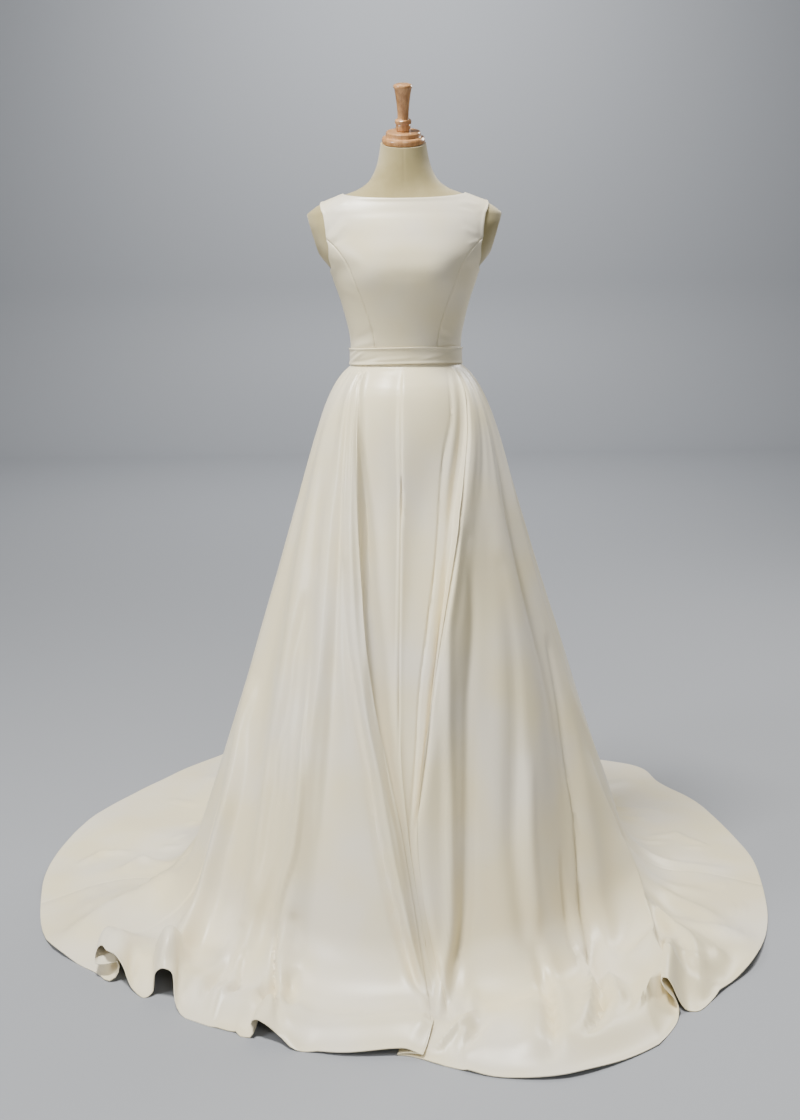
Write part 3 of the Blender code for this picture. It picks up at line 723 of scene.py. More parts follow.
@dataclass
class TurnedWork:
    """The neck cap and the finial, turned from their outlines."""

    neck: Vector = field(default_factory=lambda: Vector((0.0, 0.0, 1.5348)))
    tilt: float = math.radians(18)
    steps: int = 72
    gap: float = 0.0003
    cap: tuple[Turning, ...] = table(Turning, (
        (0, 0), (0.0425, 0), (0.0446, 0.0022), (0.0450, 0.0070), (0.0444, 0.0112), (0.0425, 0.0135),
        (0.0372, 0.0146), (0.0366, 0.0166), (0.0363, 0.0230), (0.0345, 0.0252), (0, 0.0255),
    ))
    finial: tuple[Turning, ...] = table(Turning, (
        (0, 0), (0.0142, 0), (0.0155, 0.0030), (0.0157, 0.0085), (0.0150, 0.0132), (0.0146, 0.0142),
        (0.0166, 0.0155), (0.0174, 0.0190), (0.0170, 0.0228), (0.0150, 0.0248), (0.0122, 0.0254),
        (0.0117, 0.0275), (0.0119, 0.0400), (0.0136, 0.0590), (0.0160, 0.0770), (0.0180, 0.0880),
        (0.0187, 0.0898), (0.0196, 0.0910), (0.0197, 0.0944), (0.0186, 0.0968), (0.0150, 0.0972),
        (0.0135, 0.0984), (0, 0.0985),
    ))

    def turned(self, outline: Sequence[Turning], place: Matrix) -> bmesh.types.BMesh:
        """Spins an outline round its axis.

        Args:
            outline: Radii and heights from the bottom's centre to the top's.
            place: Where the work stands.

        Returns:
            The closed turning.
        """
        bm = bmesh.new()
        verts = [bm.verts.new((point.radius, 0.0, point.height)) for point in outline]
        edges = [bm.edges.new(pair) for pair in zip(verts, verts[1:])]
        bmesh.ops.spin(bm, geom=verts + edges, cent=(0, 0, 0), axis=(0, 0, 1), angle=math.tau,
                       steps=self.steps, use_merge=True, use_duplicate=False)
        bmesh.ops.remove_doubles(bm, verts=bm.verts[:], dist=1e-5)
        bmesh.ops.recalc_face_normals(bm, faces=bm.faces[:])
        bmesh.ops.transform(bm, matrix=place, verts=bm.verts[:])
        return bm

    def build(self, wood: bpy.types.Material) -> None:
        """Builds the neck cap and the finial on the slanted neck.

        Args:
            wood: The wood's finish.
        """
        place = Matrix.Translation(self.neck) @ Matrix.Rotation(self.tilt, 4, "X")
        raised = place @ Matrix.Translation((0.0, 0.0, self.cap[-1].height + self.gap))
        for name, node, outline, where in (
            ("turned_neck_cap", "neck_cap", self.cap, place),
            ("turned_finial", "finial", self.finial, raised),
        ):
            piece = add_piece(name, self.turned(outline, where), wood, sharp=35.0)
            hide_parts(node)


@dataclass
class Stand:
    """The form's plug, pole and foot, which are the CAD's own nodes in their finishes."""

    wooden: tuple[str, ...] = ("form_plug",)
    painted: tuple[str, ...] = ("stand_pole", "stand_base")

    def dress(self, wood: bpy.types.Material, paint: bpy.types.Material) -> None:
        """Gives each node its finish.

        Args:
            wood: The plug's finish.
            paint: The pole's and foot's.
        """
        for nodes, finish in ((self.wooden, wood), (self.painted, paint)):
            for node in nodes:
                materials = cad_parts[node].data.materials
                materials.clear()
                materials.append(finish)
                LOG.info("%s: dressed in %s", node, finish.name)


# The bodice and the belt


class SeamPoint(NamedTuple):
    """Half the distance between a seam or an edge and its mirror image."""

    z: float
    x: float


class UnderarmPoint(NamedTuple):
    """The armhole's lower edge on a side panel: share of the panel's width, and height."""

    share: float
    z: float


class Pull(NamedTuple):
    """A soft pull in the cloth between two places seen from the front or the back."""

    x0: float
    z0: float
    x1: float
    z1: float
    rise: float
    width: float


def pulls_height(pulls: Sequence[Pull], x: Grid, z: Grid) -> Grid:
    """How far the pulls lift the cloth.

    Args:
        pulls: The pulls.
        x: Places to the right of the axis.
        z: Heights.

    Returns:
        The lift at each place, in metres.
    """
    total = np.zeros_like(x)
    for pull in pulls:
        share, away = beside_line(x, z, (pull.x0, pull.z0), (pull.x1, pull.z1))
        total += pull.rise * fade_ends(share, PULL_FADE) * bump(away / pull.width)
    return total


@dataclass
class Bodice:
    """The sleeveless bodice: princess-seamed panels with wide straps in one with them."""

    shape: FormShape
    satin: bpy.types.Material
    princess_top: float = 1.335
    strap_outer: float = 1.411
    neck_side: float = 1.4275
    neck_front: float = 1.415
    neck_back: float = 1.402
    neckline_start: float = 1.36
    neck_round: float = 1.5
    clearance: float = 0.0014
    zip_width: float = 0.003
    zip_depth: float = 0.0004
    zip_groove: float = 0.0003
    tooth: float = 0.00012
    tooth_pitch: float = 0.0016
    zip_thickness: float = 0.0009
    edge_puff: float = 0.0011
    edge_width: float = 0.004
    seam_dip: float = 0.0011
    seam_reach: float = 0.0019
    deepest_pull: float = 0.0009
    pucker: float = 0.5
    pucker_rate: float = 900.0
    pucker_reach: float = 0.003
    panel_rows: tuple[int, int, int] = (96, 32, 12)
    centre_width: float = 0.3
    back_width: float = 0.15
    side_size: tuple[float, float] = (0.08, 0.2)
    centre_columns: int = 129
    back_columns: int = 65
    side_columns: int = 41
    side_rows: int = 97
    zip_columns: int = 7
    zip_rows: int = 840
    princess: tuple[SeamPoint, ...] = table(SeamPoint, (
        (1.0925, 0.058), (1.15, 0.068), (1.20, 0.083), (1.25, 0.102), (1.276, 0.112),
        (1.293, 0.121), (1.314, 0.137), (1.335, 0.158),
    ))
    armhole: tuple[SeamPoint, ...] = table(SeamPoint, (
        (1.335, 0.158), (1.355, 0.160), (1.375, 0.163), (1.40, 0.168), (1.411, 0.1705),
    ))
    underarm: tuple[UnderarmPoint, ...] = table(UnderarmPoint, (
        (0.0, 1.335), (0.35, 1.300), (0.57, 1.280), (1.0, 1.267),
    ))
    pulls: tuple[Pull, ...] = table(Pull, (
        (-0.150, 1.335, -0.118, 1.362, 0.0011, 0.006),
        (-0.153, 1.348, -0.126, 1.385, -0.0009, 0.007),
        (-0.150, 1.322, -0.112, 1.338, -0.0008, 0.005), (0.150, 1.340, 0.118, 1.352, 0.0012, 0.005),
        (0.152, 1.330, 0.122, 1.368, -0.0009, 0.005), (0.150, 1.328, 0.128, 1.322, 0.0008, 0.004),
        (0.150, 1.398, 0.118, 1.408, 0.0012, 0.004), (0.146, 1.388, 0.112, 1.398, -0.0008, 0.004),
        (-0.150, 1.392, -0.120, 1.408, 0.0009, 0.005),
        (-0.105, 1.112, -0.060, 1.128, 0.0009, 0.006),
        (-0.100, 1.128, -0.062, 1.150, -0.0007, 0.007), (0.070, 1.128, 0.104, 1.112, 0.0010, 0.005),
        (0.066, 1.142, 0.098, 1.128, -0.0008, 0.006), (0.060, 1.155, 0.096, 1.146, 0.0006, 0.006),
        (-0.125, 1.235, -0.090, 1.215, 0.0007, 0.008), (0.128, 1.240, 0.095, 1.222, 0.0007, 0.008),
    ))

    def __post_init__(self) -> None:
        """Draws the smooth curves of the seams and edges."""
        self.princess_x = table_curve(self.princess, "z", "x")
        self.armhole_x = table_curve(self.armhole, "z", "x")
        self.underarm_z = table_curve(self.underarm, "share", "z")

    def neckline(self, angle: Grid) -> Grid:
        """Height of the neckline at an angle from the front.

        Args:
            angle: Angles from the front, in degrees.

        Returns:
            The heights.
        """
        facing = np.cos(np.radians(angle))
        end = np.where(facing > 0, self.neck_front, self.neck_back)
        return end + (self.neck_side - end) * (1.0 - np.abs(facing) ** self.neck_round)

    def level(self, z: Grid, angle: Grid) -> Grid:
        """Bends level rows so that the top one follows the neckline."""
        share = ease((z - self.neckline_start) / (self.neck_side - self.neckline_start))
        return z + (self.neckline(angle) - self.neck_side) * share

    def centre_edge(self, z: Grid) -> Grid:
        """Angle of a centre panel's edge: princess seam, armhole, then shoulder seam.

        Args:
            z: Heights.

        Returns:
            The angles, in degrees.
        """
        gap = self.shape.gap_angle(z, SEAM_GAP / 2)
        x = np.where(z <= self.princess_top, self.princess_x(z), self.armhole_x(z))
        return np.where(z >= self.strap_outer, 90.0, self.shape.angle_at(x, z)) - gap

    def cloth_points(self, z: Grid, angle: Grid, from_seam: Grid, from_edge: Grid) -> Grid:
        """The cloth's outer points: sunk at the seams, plump at the folded edges.

        Args:
            z: Heights.
            angle: Angles from the front, in degrees.
            from_seam: Metres to the nearest seam.
            from_edge: Metres to the nearest folded edge.

        Returns:
            The points, one row each.
        """
        bare = self.shape.points(z, angle)
        lift = pulls_height(self.pulls, bare[:, 0], bare[:, 2])
        stitches = self.pucker * np.sin(bare[:, 2] * self.pucker_rate)
        pucker = 1.0 + stitches * bump((from_seam - self.pucker_reach) / self.pucker_reach)
        lift = np.maximum(lift, -self.deepest_pull)
        lift = lift - self.seam_dip * pucker * bump(from_seam / self.seam_reach)
        lift = lift + self.edge_puff * bump((from_edge - self.edge_width / 2) / self.edge_width)
        return self.shape.offset(z, angle, self.clearance + CLOTH + lift)

    def centre_rows(self) -> Grid:
        """Levels of a centre panel, closer together where the strap leaves the armhole.

        Returns:
            The heights of the rows.
        """
        below, beside, above = self.panel_rows
        lower = np.linspace(WAIST_Z, self.princess_top, below)
        shares = 1.0 - (1.0 - np.linspace(0.0, 1.0, beside)[1:]) ** 2
        upper = self.princess_top + (self.strap_outer - self.princess_top) * shares
        strap = np.linspace(self.strap_outer, self.neck_side, above)[1:]
        return np.concatenate((lower, upper, strap))

    def centre_surface(self, share: Grid, z: Grid, start: Grid, end: Grid,
                       open_end: bool) -> Grid:
        """The cloth of a centre panel.

        Args:
            share: Place across the panel, 0 to 1.
            z: Heights of the level rows.
            start: Angle of the panel's first edge at each point.
            end: Angle of its second edge.
            open_end: Whether the first edge is the armhole's too, as the second is.

        Returns:
            The points, one row each.
        """
        angle = start + (end - start) * share
        radius = self.shape.radius(z)
        to_start = np.radians(np.abs(angle - start)) * radius
        to_end = np.radians(np.abs(end - angle)) * radius
        nearest = np.minimum(to_start, to_end) if open_end else to_end
        below = z <= self.princess_top
        from_seam = np.where(below | (z > self.strap_outer), nearest, 1.0)
        if not open_end:
            from_seam = np.minimum(from_seam, to_start)
        from_edge = np.where(below, 1.0, np.where(z < self.strap_outer, nearest, 1.0))
        from_edge = np.minimum(from_edge, self.neck_side - z)
        return self.cloth_points(self.level(z, angle), angle, from_seam, from_edge)

    def finish(self, name: str, bm: bmesh.types.BMesh, node: str) -> bpy.types.Object:
        """Turns a panel's mesh into a piece with its thickness.

        Args:
            name: The piece's name.
            bm: The panel's mesh, which is freed.
            node: The CAD node that it stands for.

        Returns:
            The panel.
        """
        bmesh.ops.recalc_face_normals(bm, faces=bm.faces[:])
        centre = sum((face.calc_center_median() for face in bm.faces), Vector()) / len(bm.faces)
        outward = sum((face.normal.dot(face.calc_center_median() - Vector((0, 0, centre.z)))
                       for face in bm.faces))
        if outward < 0:
            bmesh.ops.reverse_faces(bm, faces=bm.faces[:])
        piece = add_piece(name, bm, self.satin)
        give_thickness(piece, CLOTH)
        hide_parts(node)
        return piece

    def build_front(self) -> bpy.types.Object:
        """The centre front, from princess seam to princess seam.

        Returns:
            The panel.
        """
        def surface(share: Grid, z: Grid) -> Grid:
            """The panel's outer side by share of its width and height."""
            edge = self.centre_edge(z)
            return self.centre_surface(share, z, -edge, edge, True)

        columns = np.linspace(0.0, 1.0, self.centre_columns)
        bm = sheet_mesh(columns, self.centre_rows(), surface, self.centre_width, 1.0)
        return self.finish("centre_front_panel", bm, "bodice_front")

    def build_back(self, side: Side) -> bpy.types.Object:
        """One centre back, from the zip to the princess seam.

        Args:
            side: Which of the two.

        Returns:
            The panel.
        """
        def surface(share: Grid, z: Grid) -> Grid:
            """The panel's outer side by share of its width and height.

            Args:
                share: Shares of the width.
                z: Heights.

            Returns:
                The points, one row each.
            """
            outer = 180.0 - self.centre_edge(z)
            opening = self.zip_width / 2 + SEAM_GAP
            inner = 180.0 - np.degrees(opening / self.shape.half_width(z))
            return self.centre_surface(share, z, side.value * inner, side.value * outer, False)

        columns = np.linspace(0.0, 1.0, self.back_columns)
        bm = sheet_mesh(columns, self.centre_rows(), surface, self.back_width, 1.0)
        word = side.name.lower()
        return self.finish(f"centre_back_panel_{word}", bm, f"bodice_back_{word}")

    def build_side(self, side: Side, face: Face) -> bpy.types.Object:
        """One side panel, cut off by the armhole's lower edge.

        Args:
            side: Which half it belongs to.
            face: In front of the side seam or behind it.

        Returns:
            The panel.
        """
        def surface(share: Grid, up: Grid) -> Grid:
            """The panel's outer side by shares of its width and of its height.

            Args:
                share: Shares of the width.
                up: Shares of the height.

            Returns:
                The points, one row each.
            """
            top = self.underarm_z(share)
            z = WAIST_Z + (top - WAIST_Z) * up
            gap = self.shape.gap_angle(z, SEAM_GAP / 2)
            start = self.shape.angle_at(self.princess_x(z), z) + gap
            end = 90.0 - gap
            angle = start + (end - start) * share
            from_seam = np.radians(np.minimum(angle - start, end - angle)) * self.shape.radius(z)
            turn = angle if face is Face.FRONT else 180.0 - angle
            return self.cloth_points(z, side.value * turn, from_seam, top - z)

        columns = np.linspace(0.0, 1.0, self.side_columns)
        rows = np.linspace(0.0, 1.0, self.side_rows)
        bm = sheet_mesh(columns, rows, surface, *self.side_size)
        word = side.name.lower()
        return self.finish(f"side_{face.value}_panel_{word}", bm,
                           f"bodice_side_{face.value}_{word}")

    def build_zip(self) -> None:
        """The closed concealed zip, a sunk line of fine teeth between the centre backs."""
        def surface(share: Grid, z: Grid) -> Grid:
            """The zip's outer side by share of its width and height.

            Args:
                share: Shares of the width.
                z: Heights.

            Returns:
                The points, one row each.
            """
            aside = share * 2.0 - 1.0
            half = np.degrees(self.zip_width / 2 / self.shape.half_width(z))
            angle = 180.0 + aside * half
            lift = self.tooth * np.sin(z * math.tau / self.tooth_pitch)
            lift = lift - self.zip_groove * (1.0 - np.abs(aside))
            base = self.clearance + CLOTH - self.zip_depth
            return self.shape.offset(self.level(z, angle), angle, base + lift)

        rows = np.linspace(WAIST_Z, self.neck_side, self.zip_rows)
        columns = np.linspace(0.0, 1.0, self.zip_columns)
        bm = sheet_mesh(columns, rows, surface, self.zip_width, 1.0)
        bmesh.ops.recalc_face_normals(bm, faces=bm.faces[:])
        piece = add_piece("concealed_zip", bm, self.satin)
        give_thickness(piece, self.zip_thickness, 0.0)
        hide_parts("back_zip")

    def build(self) -> None:
        panels = [(self.build_front(), (0.36, 0.37), 0.110)]
        for side in Side:
            panels.append((self.build_back(side), (0.19, 0.36), 0.046))
            for face in Face:
                panels.append((self.build_side(side, face), (0.11, 0.26), 0.018))
        self.build_zip()


@dataclass
class Belt:
    """The folded waist band, with raised folded edges and soft creases at its ends."""

    shape: FormShape
    satin: bpy.types.Material
    inside: float = 0.0036
    thickness: float = 0.0021
    roll: float = 0.0009
    edge_rise: float = 0.0014
    edge_place: float = 0.0018
    edge_width: float = 0.0030
    pull_fade: float = 0.004
    tilt: float = 0.0045
    waver: float = 0.0008
    waver_rate: float = 2.3
    waver_start: float = 40.0
    columns: int = 361
    rows: int = 27
    metres_per_degree: float = 0.0018
    pulls: tuple[Pull, ...] = table(Pull, (
        (-0.112, 1.078, -0.085, 1.100, 0.0013, 0.0035),
        (-0.100, 1.080, -0.060, 1.088, -0.0009, 0.004),
        (-0.110, 1.092, -0.094, 1.106, 0.0008, 0.003),
        (-0.070, 1.083, 0.010, 1.0875, 0.0007, 0.004), (0.030, 1.084, 0.085, 1.096, 0.0008, 0.004),
        (0.070, 1.098, 0.110, 1.104, -0.0006, 0.004),
    ))

    def surface(self, angle: Grid, z: Grid) -> Grid:
        """The band's outer side.

        Args:
            angle: Angles from the front, in degrees.
            z: Heights.

        Returns:
            The points, one row each.
        """
        level = np.maximum(z, WAIST_Z)
        edge = BELT_HEIGHT / 2 - np.abs(z - WAIST_Z)
        lift = self.edge_rise * bump((edge - self.edge_place) / self.edge_width)
        bare = self.shape.points(level, angle)
        lift = lift + pulls_height(self.pulls, bare[:, 0], z) * ease(edge / self.pull_fade)
        points = self.shape.offset(level, angle, self.inside + self.thickness + lift)
        points[:, 2] += z - level + self.tilt * np.cos(np.radians(angle))
        waver = np.radians(angle * self.waver_rate + self.waver_start)
        points[:, 2] += self.waver * np.sin(waver)
        return points

    def build(self) -> None:
        end = 180.0 - math.degrees(SEAM_GAP / 2 / float(self.shape.half_width(WAIST_Z)))
        heights = np.linspace(WAIST_Z - BELT_HEIGHT / 2, WAIST_Z + BELT_HEIGHT / 2, self.rows)
        bm = sheet_mesh(np.linspace(-end, end, self.columns), heights, self.surface,
                        self.metres_per_degree, 1.0)
        band = add_piece("folded_waist_belt", bm, self.satin)
        give_thickness(band, self.thickness, self.roll)
        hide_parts("waist_belt")


# The skirt


class GrainLine(NamedTuple):
    """A line that the cloth's grain follows: its place on the flat cloth, and its azimuths."""

    label: float
    belt: float
    hip: float
    thigh: float
    knee: float
    shin: float
    floor: float
    hem: float


class Fold(NamedTuple):
    """A fold along the grain: its label, its reach to each side, and its rises in mm."""

    label: float
    left: float
    right: float
    hip: float
    thigh: float
    knee: float
    floor: float
    hem: float


class HemPoint(NamedTuple):
    """How far the hem lies from the axis at an azimuth."""

    azimuth: float
    radius: float


class Curl(NamedTuple):
    """A wave that stands up at the hem.

    pinch draws its flanks together and lean moves its top sideways, both in degrees.
    """

    azimuth: float
    reach: float
    notch: float
    lift: float
    pinch: float
    lean: float
    length: float


class EdgePoint(NamedTuple):
    """A place that the hem's edge passes, by the cloth's label there."""

    label: float
    azimuth: float
    radius: float
    height: float


class Focus(NamedTuple):
    """Labels round which a panel's grid is finer."""

    label: float
    width: float
    share: float


class Crease(NamedTuple):
    """A ridge or trough on the hanging cloth, and its widths to the left and right.

    Each place is a length down the cloth, the azimuth there and the rise in mm.
    """

    places: tuple[tuple[float, float, float], ...]
    left: float
    right: float


class FloorCrease(NamedTuple):
    """A fine crease of the cloth on the floor, between two places, its rise and width in mm."""

    azimuth0: float
    radius0: float
    azimuth1: float
    radius1: float
    rise: float
    width: float


class Ripple(NamedTuple):
    """One pattern in the slight unevenness of real cloth: two waves that cross each other.

    Each wave has its rates by label and by length, and its phase.
    """

    size: float
    label1: float
    length1: float
    phase1: float
    label2: float
    length2: float
    phase2: float


@dataclass
class SkirtSection:
    """The fold-free outline of the skirt at any azimuth: belt, cone, floor bend, floor."""

    shape: FormShape
    stand_off: float = 0.0029
    hip_radius: float = 0.147
    hollow: float = 0.009
    foot: float = 0.462
    foot_extra: float = 0.11
    foot_power: int = 4
    floor_bend: float = 0.13
    spring: float = 0.040
    least_on_floor: float = 0.02
    samples: int = 360
    cone_samples: int = 60
    bend_samples: int = 24
    slope_step: float = 0.004
    end_margin: float = 0.001
    first: int = -200
    last: int = 230
    hem: tuple[HemPoint, ...] = table(HemPoint, (
        (-180, 0.930), (-160, 0.900), (-146, 0.867), (-131, 0.838), (-113, 0.810), (-98, 0.786),
        (-84, 0.757), (-70, 0.738), (-60, 0.690), (-53, 0.662), (-45, 0.640), (-36, 0.643),
        (-25, 0.634), (-12, 0.642), (-2, 0.632), (4, 0.664), (11, 0.709), (20, 0.737), (33, 0.728),
        (41, 0.695), (50, 0.700), (60, 0.714), (80, 0.714), (96, 0.729), (110, 0.750), (121, 0.776),
        (130, 0.798), (136, 0.845), (150, 0.870), (180, 0.930),
    ))

    def __post_init__(self) -> None:
        """Traces the outline once for each whole degree."""
        self.hem_radius = table_curve(self.hem, "azimuth", "radius")
        rows = [self.trace(float(azimuth)) for azimuth in range(self.first, self.last + 1)]
        self.radii, self.heights, self.totals, self.bends, self.floors = (
            np.array(values) for values in zip(*rows))

    def cone_radius(self, z: Grid, foot: float, waist: float) -> Grid:
        """Radius of the hanging cloth at a height.

        Args:
            z: Heights.
            foot: The cone's radius at the floor.
            waist: The radius at the waist.

        Returns:
            The radii.
        """
        radius = foot - (foot - self.hip_radius) * z / WAIST_Z
        radius = radius - self.hollow * np.sin(np.pi * z / WAIST_Z)
        below = np.maximum(WAIST_Z - BELT_HEIGHT / 2 - z, 0.0)
        return radius + (waist - self.hip_radius) * np.exp(-below / self.spring)

    def trace(self, azimuth: float) -> tuple[Grid, Grid, float, float, float]:
        """Traces one outline.

        Args:
            azimuth: Where, in degrees.

        Returns:
            Radii and heights at even steps of length, the whole length, and the lengths
            at which the floor bend starts and ends.
        """
        a = math.radians(azimuth)
        depth = self.shape.front if math.cos(a) > 0 else self.shape.back
        angle = math.degrees(math.atan2(
            math.sin(a) / float(self.shape.half_width(WAIST_Z)),
            math.cos(a) / float(depth(WAIST_Z))))
        point = self.shape.offset(np.array([WAIST_Z]), np.array([angle]),
                                  np.array([self.stand_off]))[0]
        waist = math.hypot(point[0], point[1])
        behind = (1.0 - math.cos(a)) / 2.0
        foot = self.foot + self.foot_extra * behind ** self.foot_power
        turn = math.pi / 2 - math.atan((foot - self.hip_radius) / WAIST_Z)
        low = CLOTH + self.floor_bend * (1.0 - math.cos(turn))
        belt = WAIST_Z - BELT_HEIGHT / 2
        z = np.linspace(belt, low, self.cone_samples)[1:]
        flare = float(self.cone_radius(np.array(belt), foot, waist)) - waist
        r = self.cone_radius(z, foot, waist) - flare * np.exp(-(belt - z) / self.spring)
        bend = np.linspace(0.0, turn, self.bend_samples)[1:]
        bend_r = r[-1] + self.floor_bend * (math.sin(turn) - np.sin(turn - bend))
        bend_z = CLOTH + self.floor_bend * (1.0 - np.cos(turn - bend))
        hem = max(float(self.hem_radius(azimuth)), bend_r[-1] + self.least_on_floor)
        radii = np.concatenate(((waist, waist), r, bend_r, (hem,)))
        heights = np.concatenate(((WAIST_Z - SEAM_GAP, belt), z, bend_z, (CLOTH,)))
        lengths = np.concatenate(((0.0,), np.cumsum(np.hypot(np.diff(radii), np.diff(heights)))))
        even = np.linspace(0.0, lengths[-1], self.samples)
        return (np.interp(even, lengths, radii), np.interp(even, lengths, heights),
                float(lengths[-1]), float(lengths[1 + len(z)]), float(lengths[-2]))

    def read(self, table: Grid, azimuth: Grid) -> Grid:
        """Reads a value that depends on the azimuth alone."""
        return np.interp(azimuth - self.first, np.arange(len(table)), table)

    def outline(self, azimuth: Grid, length: Grid) -> tuple[Grid, Grid]:
        """Radius and height at lengths down the outlines of azimuths.

        Args:
            azimuth: Azimuths of the points.
            length: Lengths down the outlines.

        Returns:
            The radii and the heights.
        """
        place = np.clip(azimuth - self.first, 0.0, len(self.totals) - 1 - self.end_margin)
        i = np.floor(place).astype(int)
        mix = place - i
        share = np.clip(length / self.read(self.totals, azimuth), 0.0, 1.0)
        share = share * (self.samples - 1 - self.end_margin)
        k = np.floor(share).astype(int)
        part = share - k
        out = []
        for table in (self.radii, self.heights):
            here = table[i, k] * (1 - part) + table[i, k + 1] * part
            there = table[i + 1, k] * (1 - part) + table[i + 1, k + 1] * part
            out.append(here * (1 - mix) + there * mix)
        return out[0], out[1]

    def slope(self, azimuth: Grid, length: Grid) -> tuple[Grid, Grid]:
        """The upward normal of the outline, as its outward and upward parts.

        Args:
            azimuth: Azimuths of the points.
            length: Lengths down the outlines.

        Returns:
            The outward and the upward parts.
        """
        total = self.read(self.totals, azimuth)
        r0, z0 = self.outline(azimuth, np.maximum(length - self.slope_step, 0.0))
        r1, z1 = self.outline(azimuth, np.minimum(length + self.slope_step, total))
        size = np.hypot(r1 - r0, z1 - z0)
        return (z0 - z1) / size, (r1 - r0) / size


class LapPoint(NamedTuple):
    """How far a lap tucks back or stands up at a length down the cloth."""

    length: float
    metres: float


def lap_curve(points: Sequence[LapPoint]) -> Curve:
    """A lap's tuck or rise by length."""
    return table_curve(points, "length", "metres")


@dataclass
class Lap:
    """Where the cloth folds back under itself, beside the middle recess.

    start is the label of the fold's tip; turn is +1 where the cloth runs back to the left
    under it, -1 to the right.  tuck is how far back, and rise how high the tip stands, by
    length down the cloth, in metres.
    """

    start: float
    turn: int
    tuck: Curve
    rise: Curve
    side: float = 2.2
    release_start: float = 1.1
    release: float = 3.4
    shoulder: float = 9.0

    def shift(self, label: Grid, length: Grid) -> Grid:
        """How far the cloth moves back under the fold, in metres along the round.

        Args:
            label: Places round the cloth.
            length: Lengths down the cloth.

        Returns:
            The shifts, to the viewer's right.
        """
        t = (label - self.start) * self.turn / self.side
        back = ease(t) * (1.0 - ease((t - self.release_start) / self.release))
        return -self.turn * self.tuck(length) * back

    def height(self, label: Grid, length: Grid) -> Grid:
        """How much the fold's tip stands above the layer under it.

        Args:
            label: Places round the cloth.
            length: Lengths down the cloth.

        Returns:
            The rise at each point, in metres.
        """
        t = (label - self.start) * self.turn / self.side
        tip = np.where(t > 0, 1.0 - ease(t), bump(t * self.side / self.shoulder))
        return self.rise(length) * tip


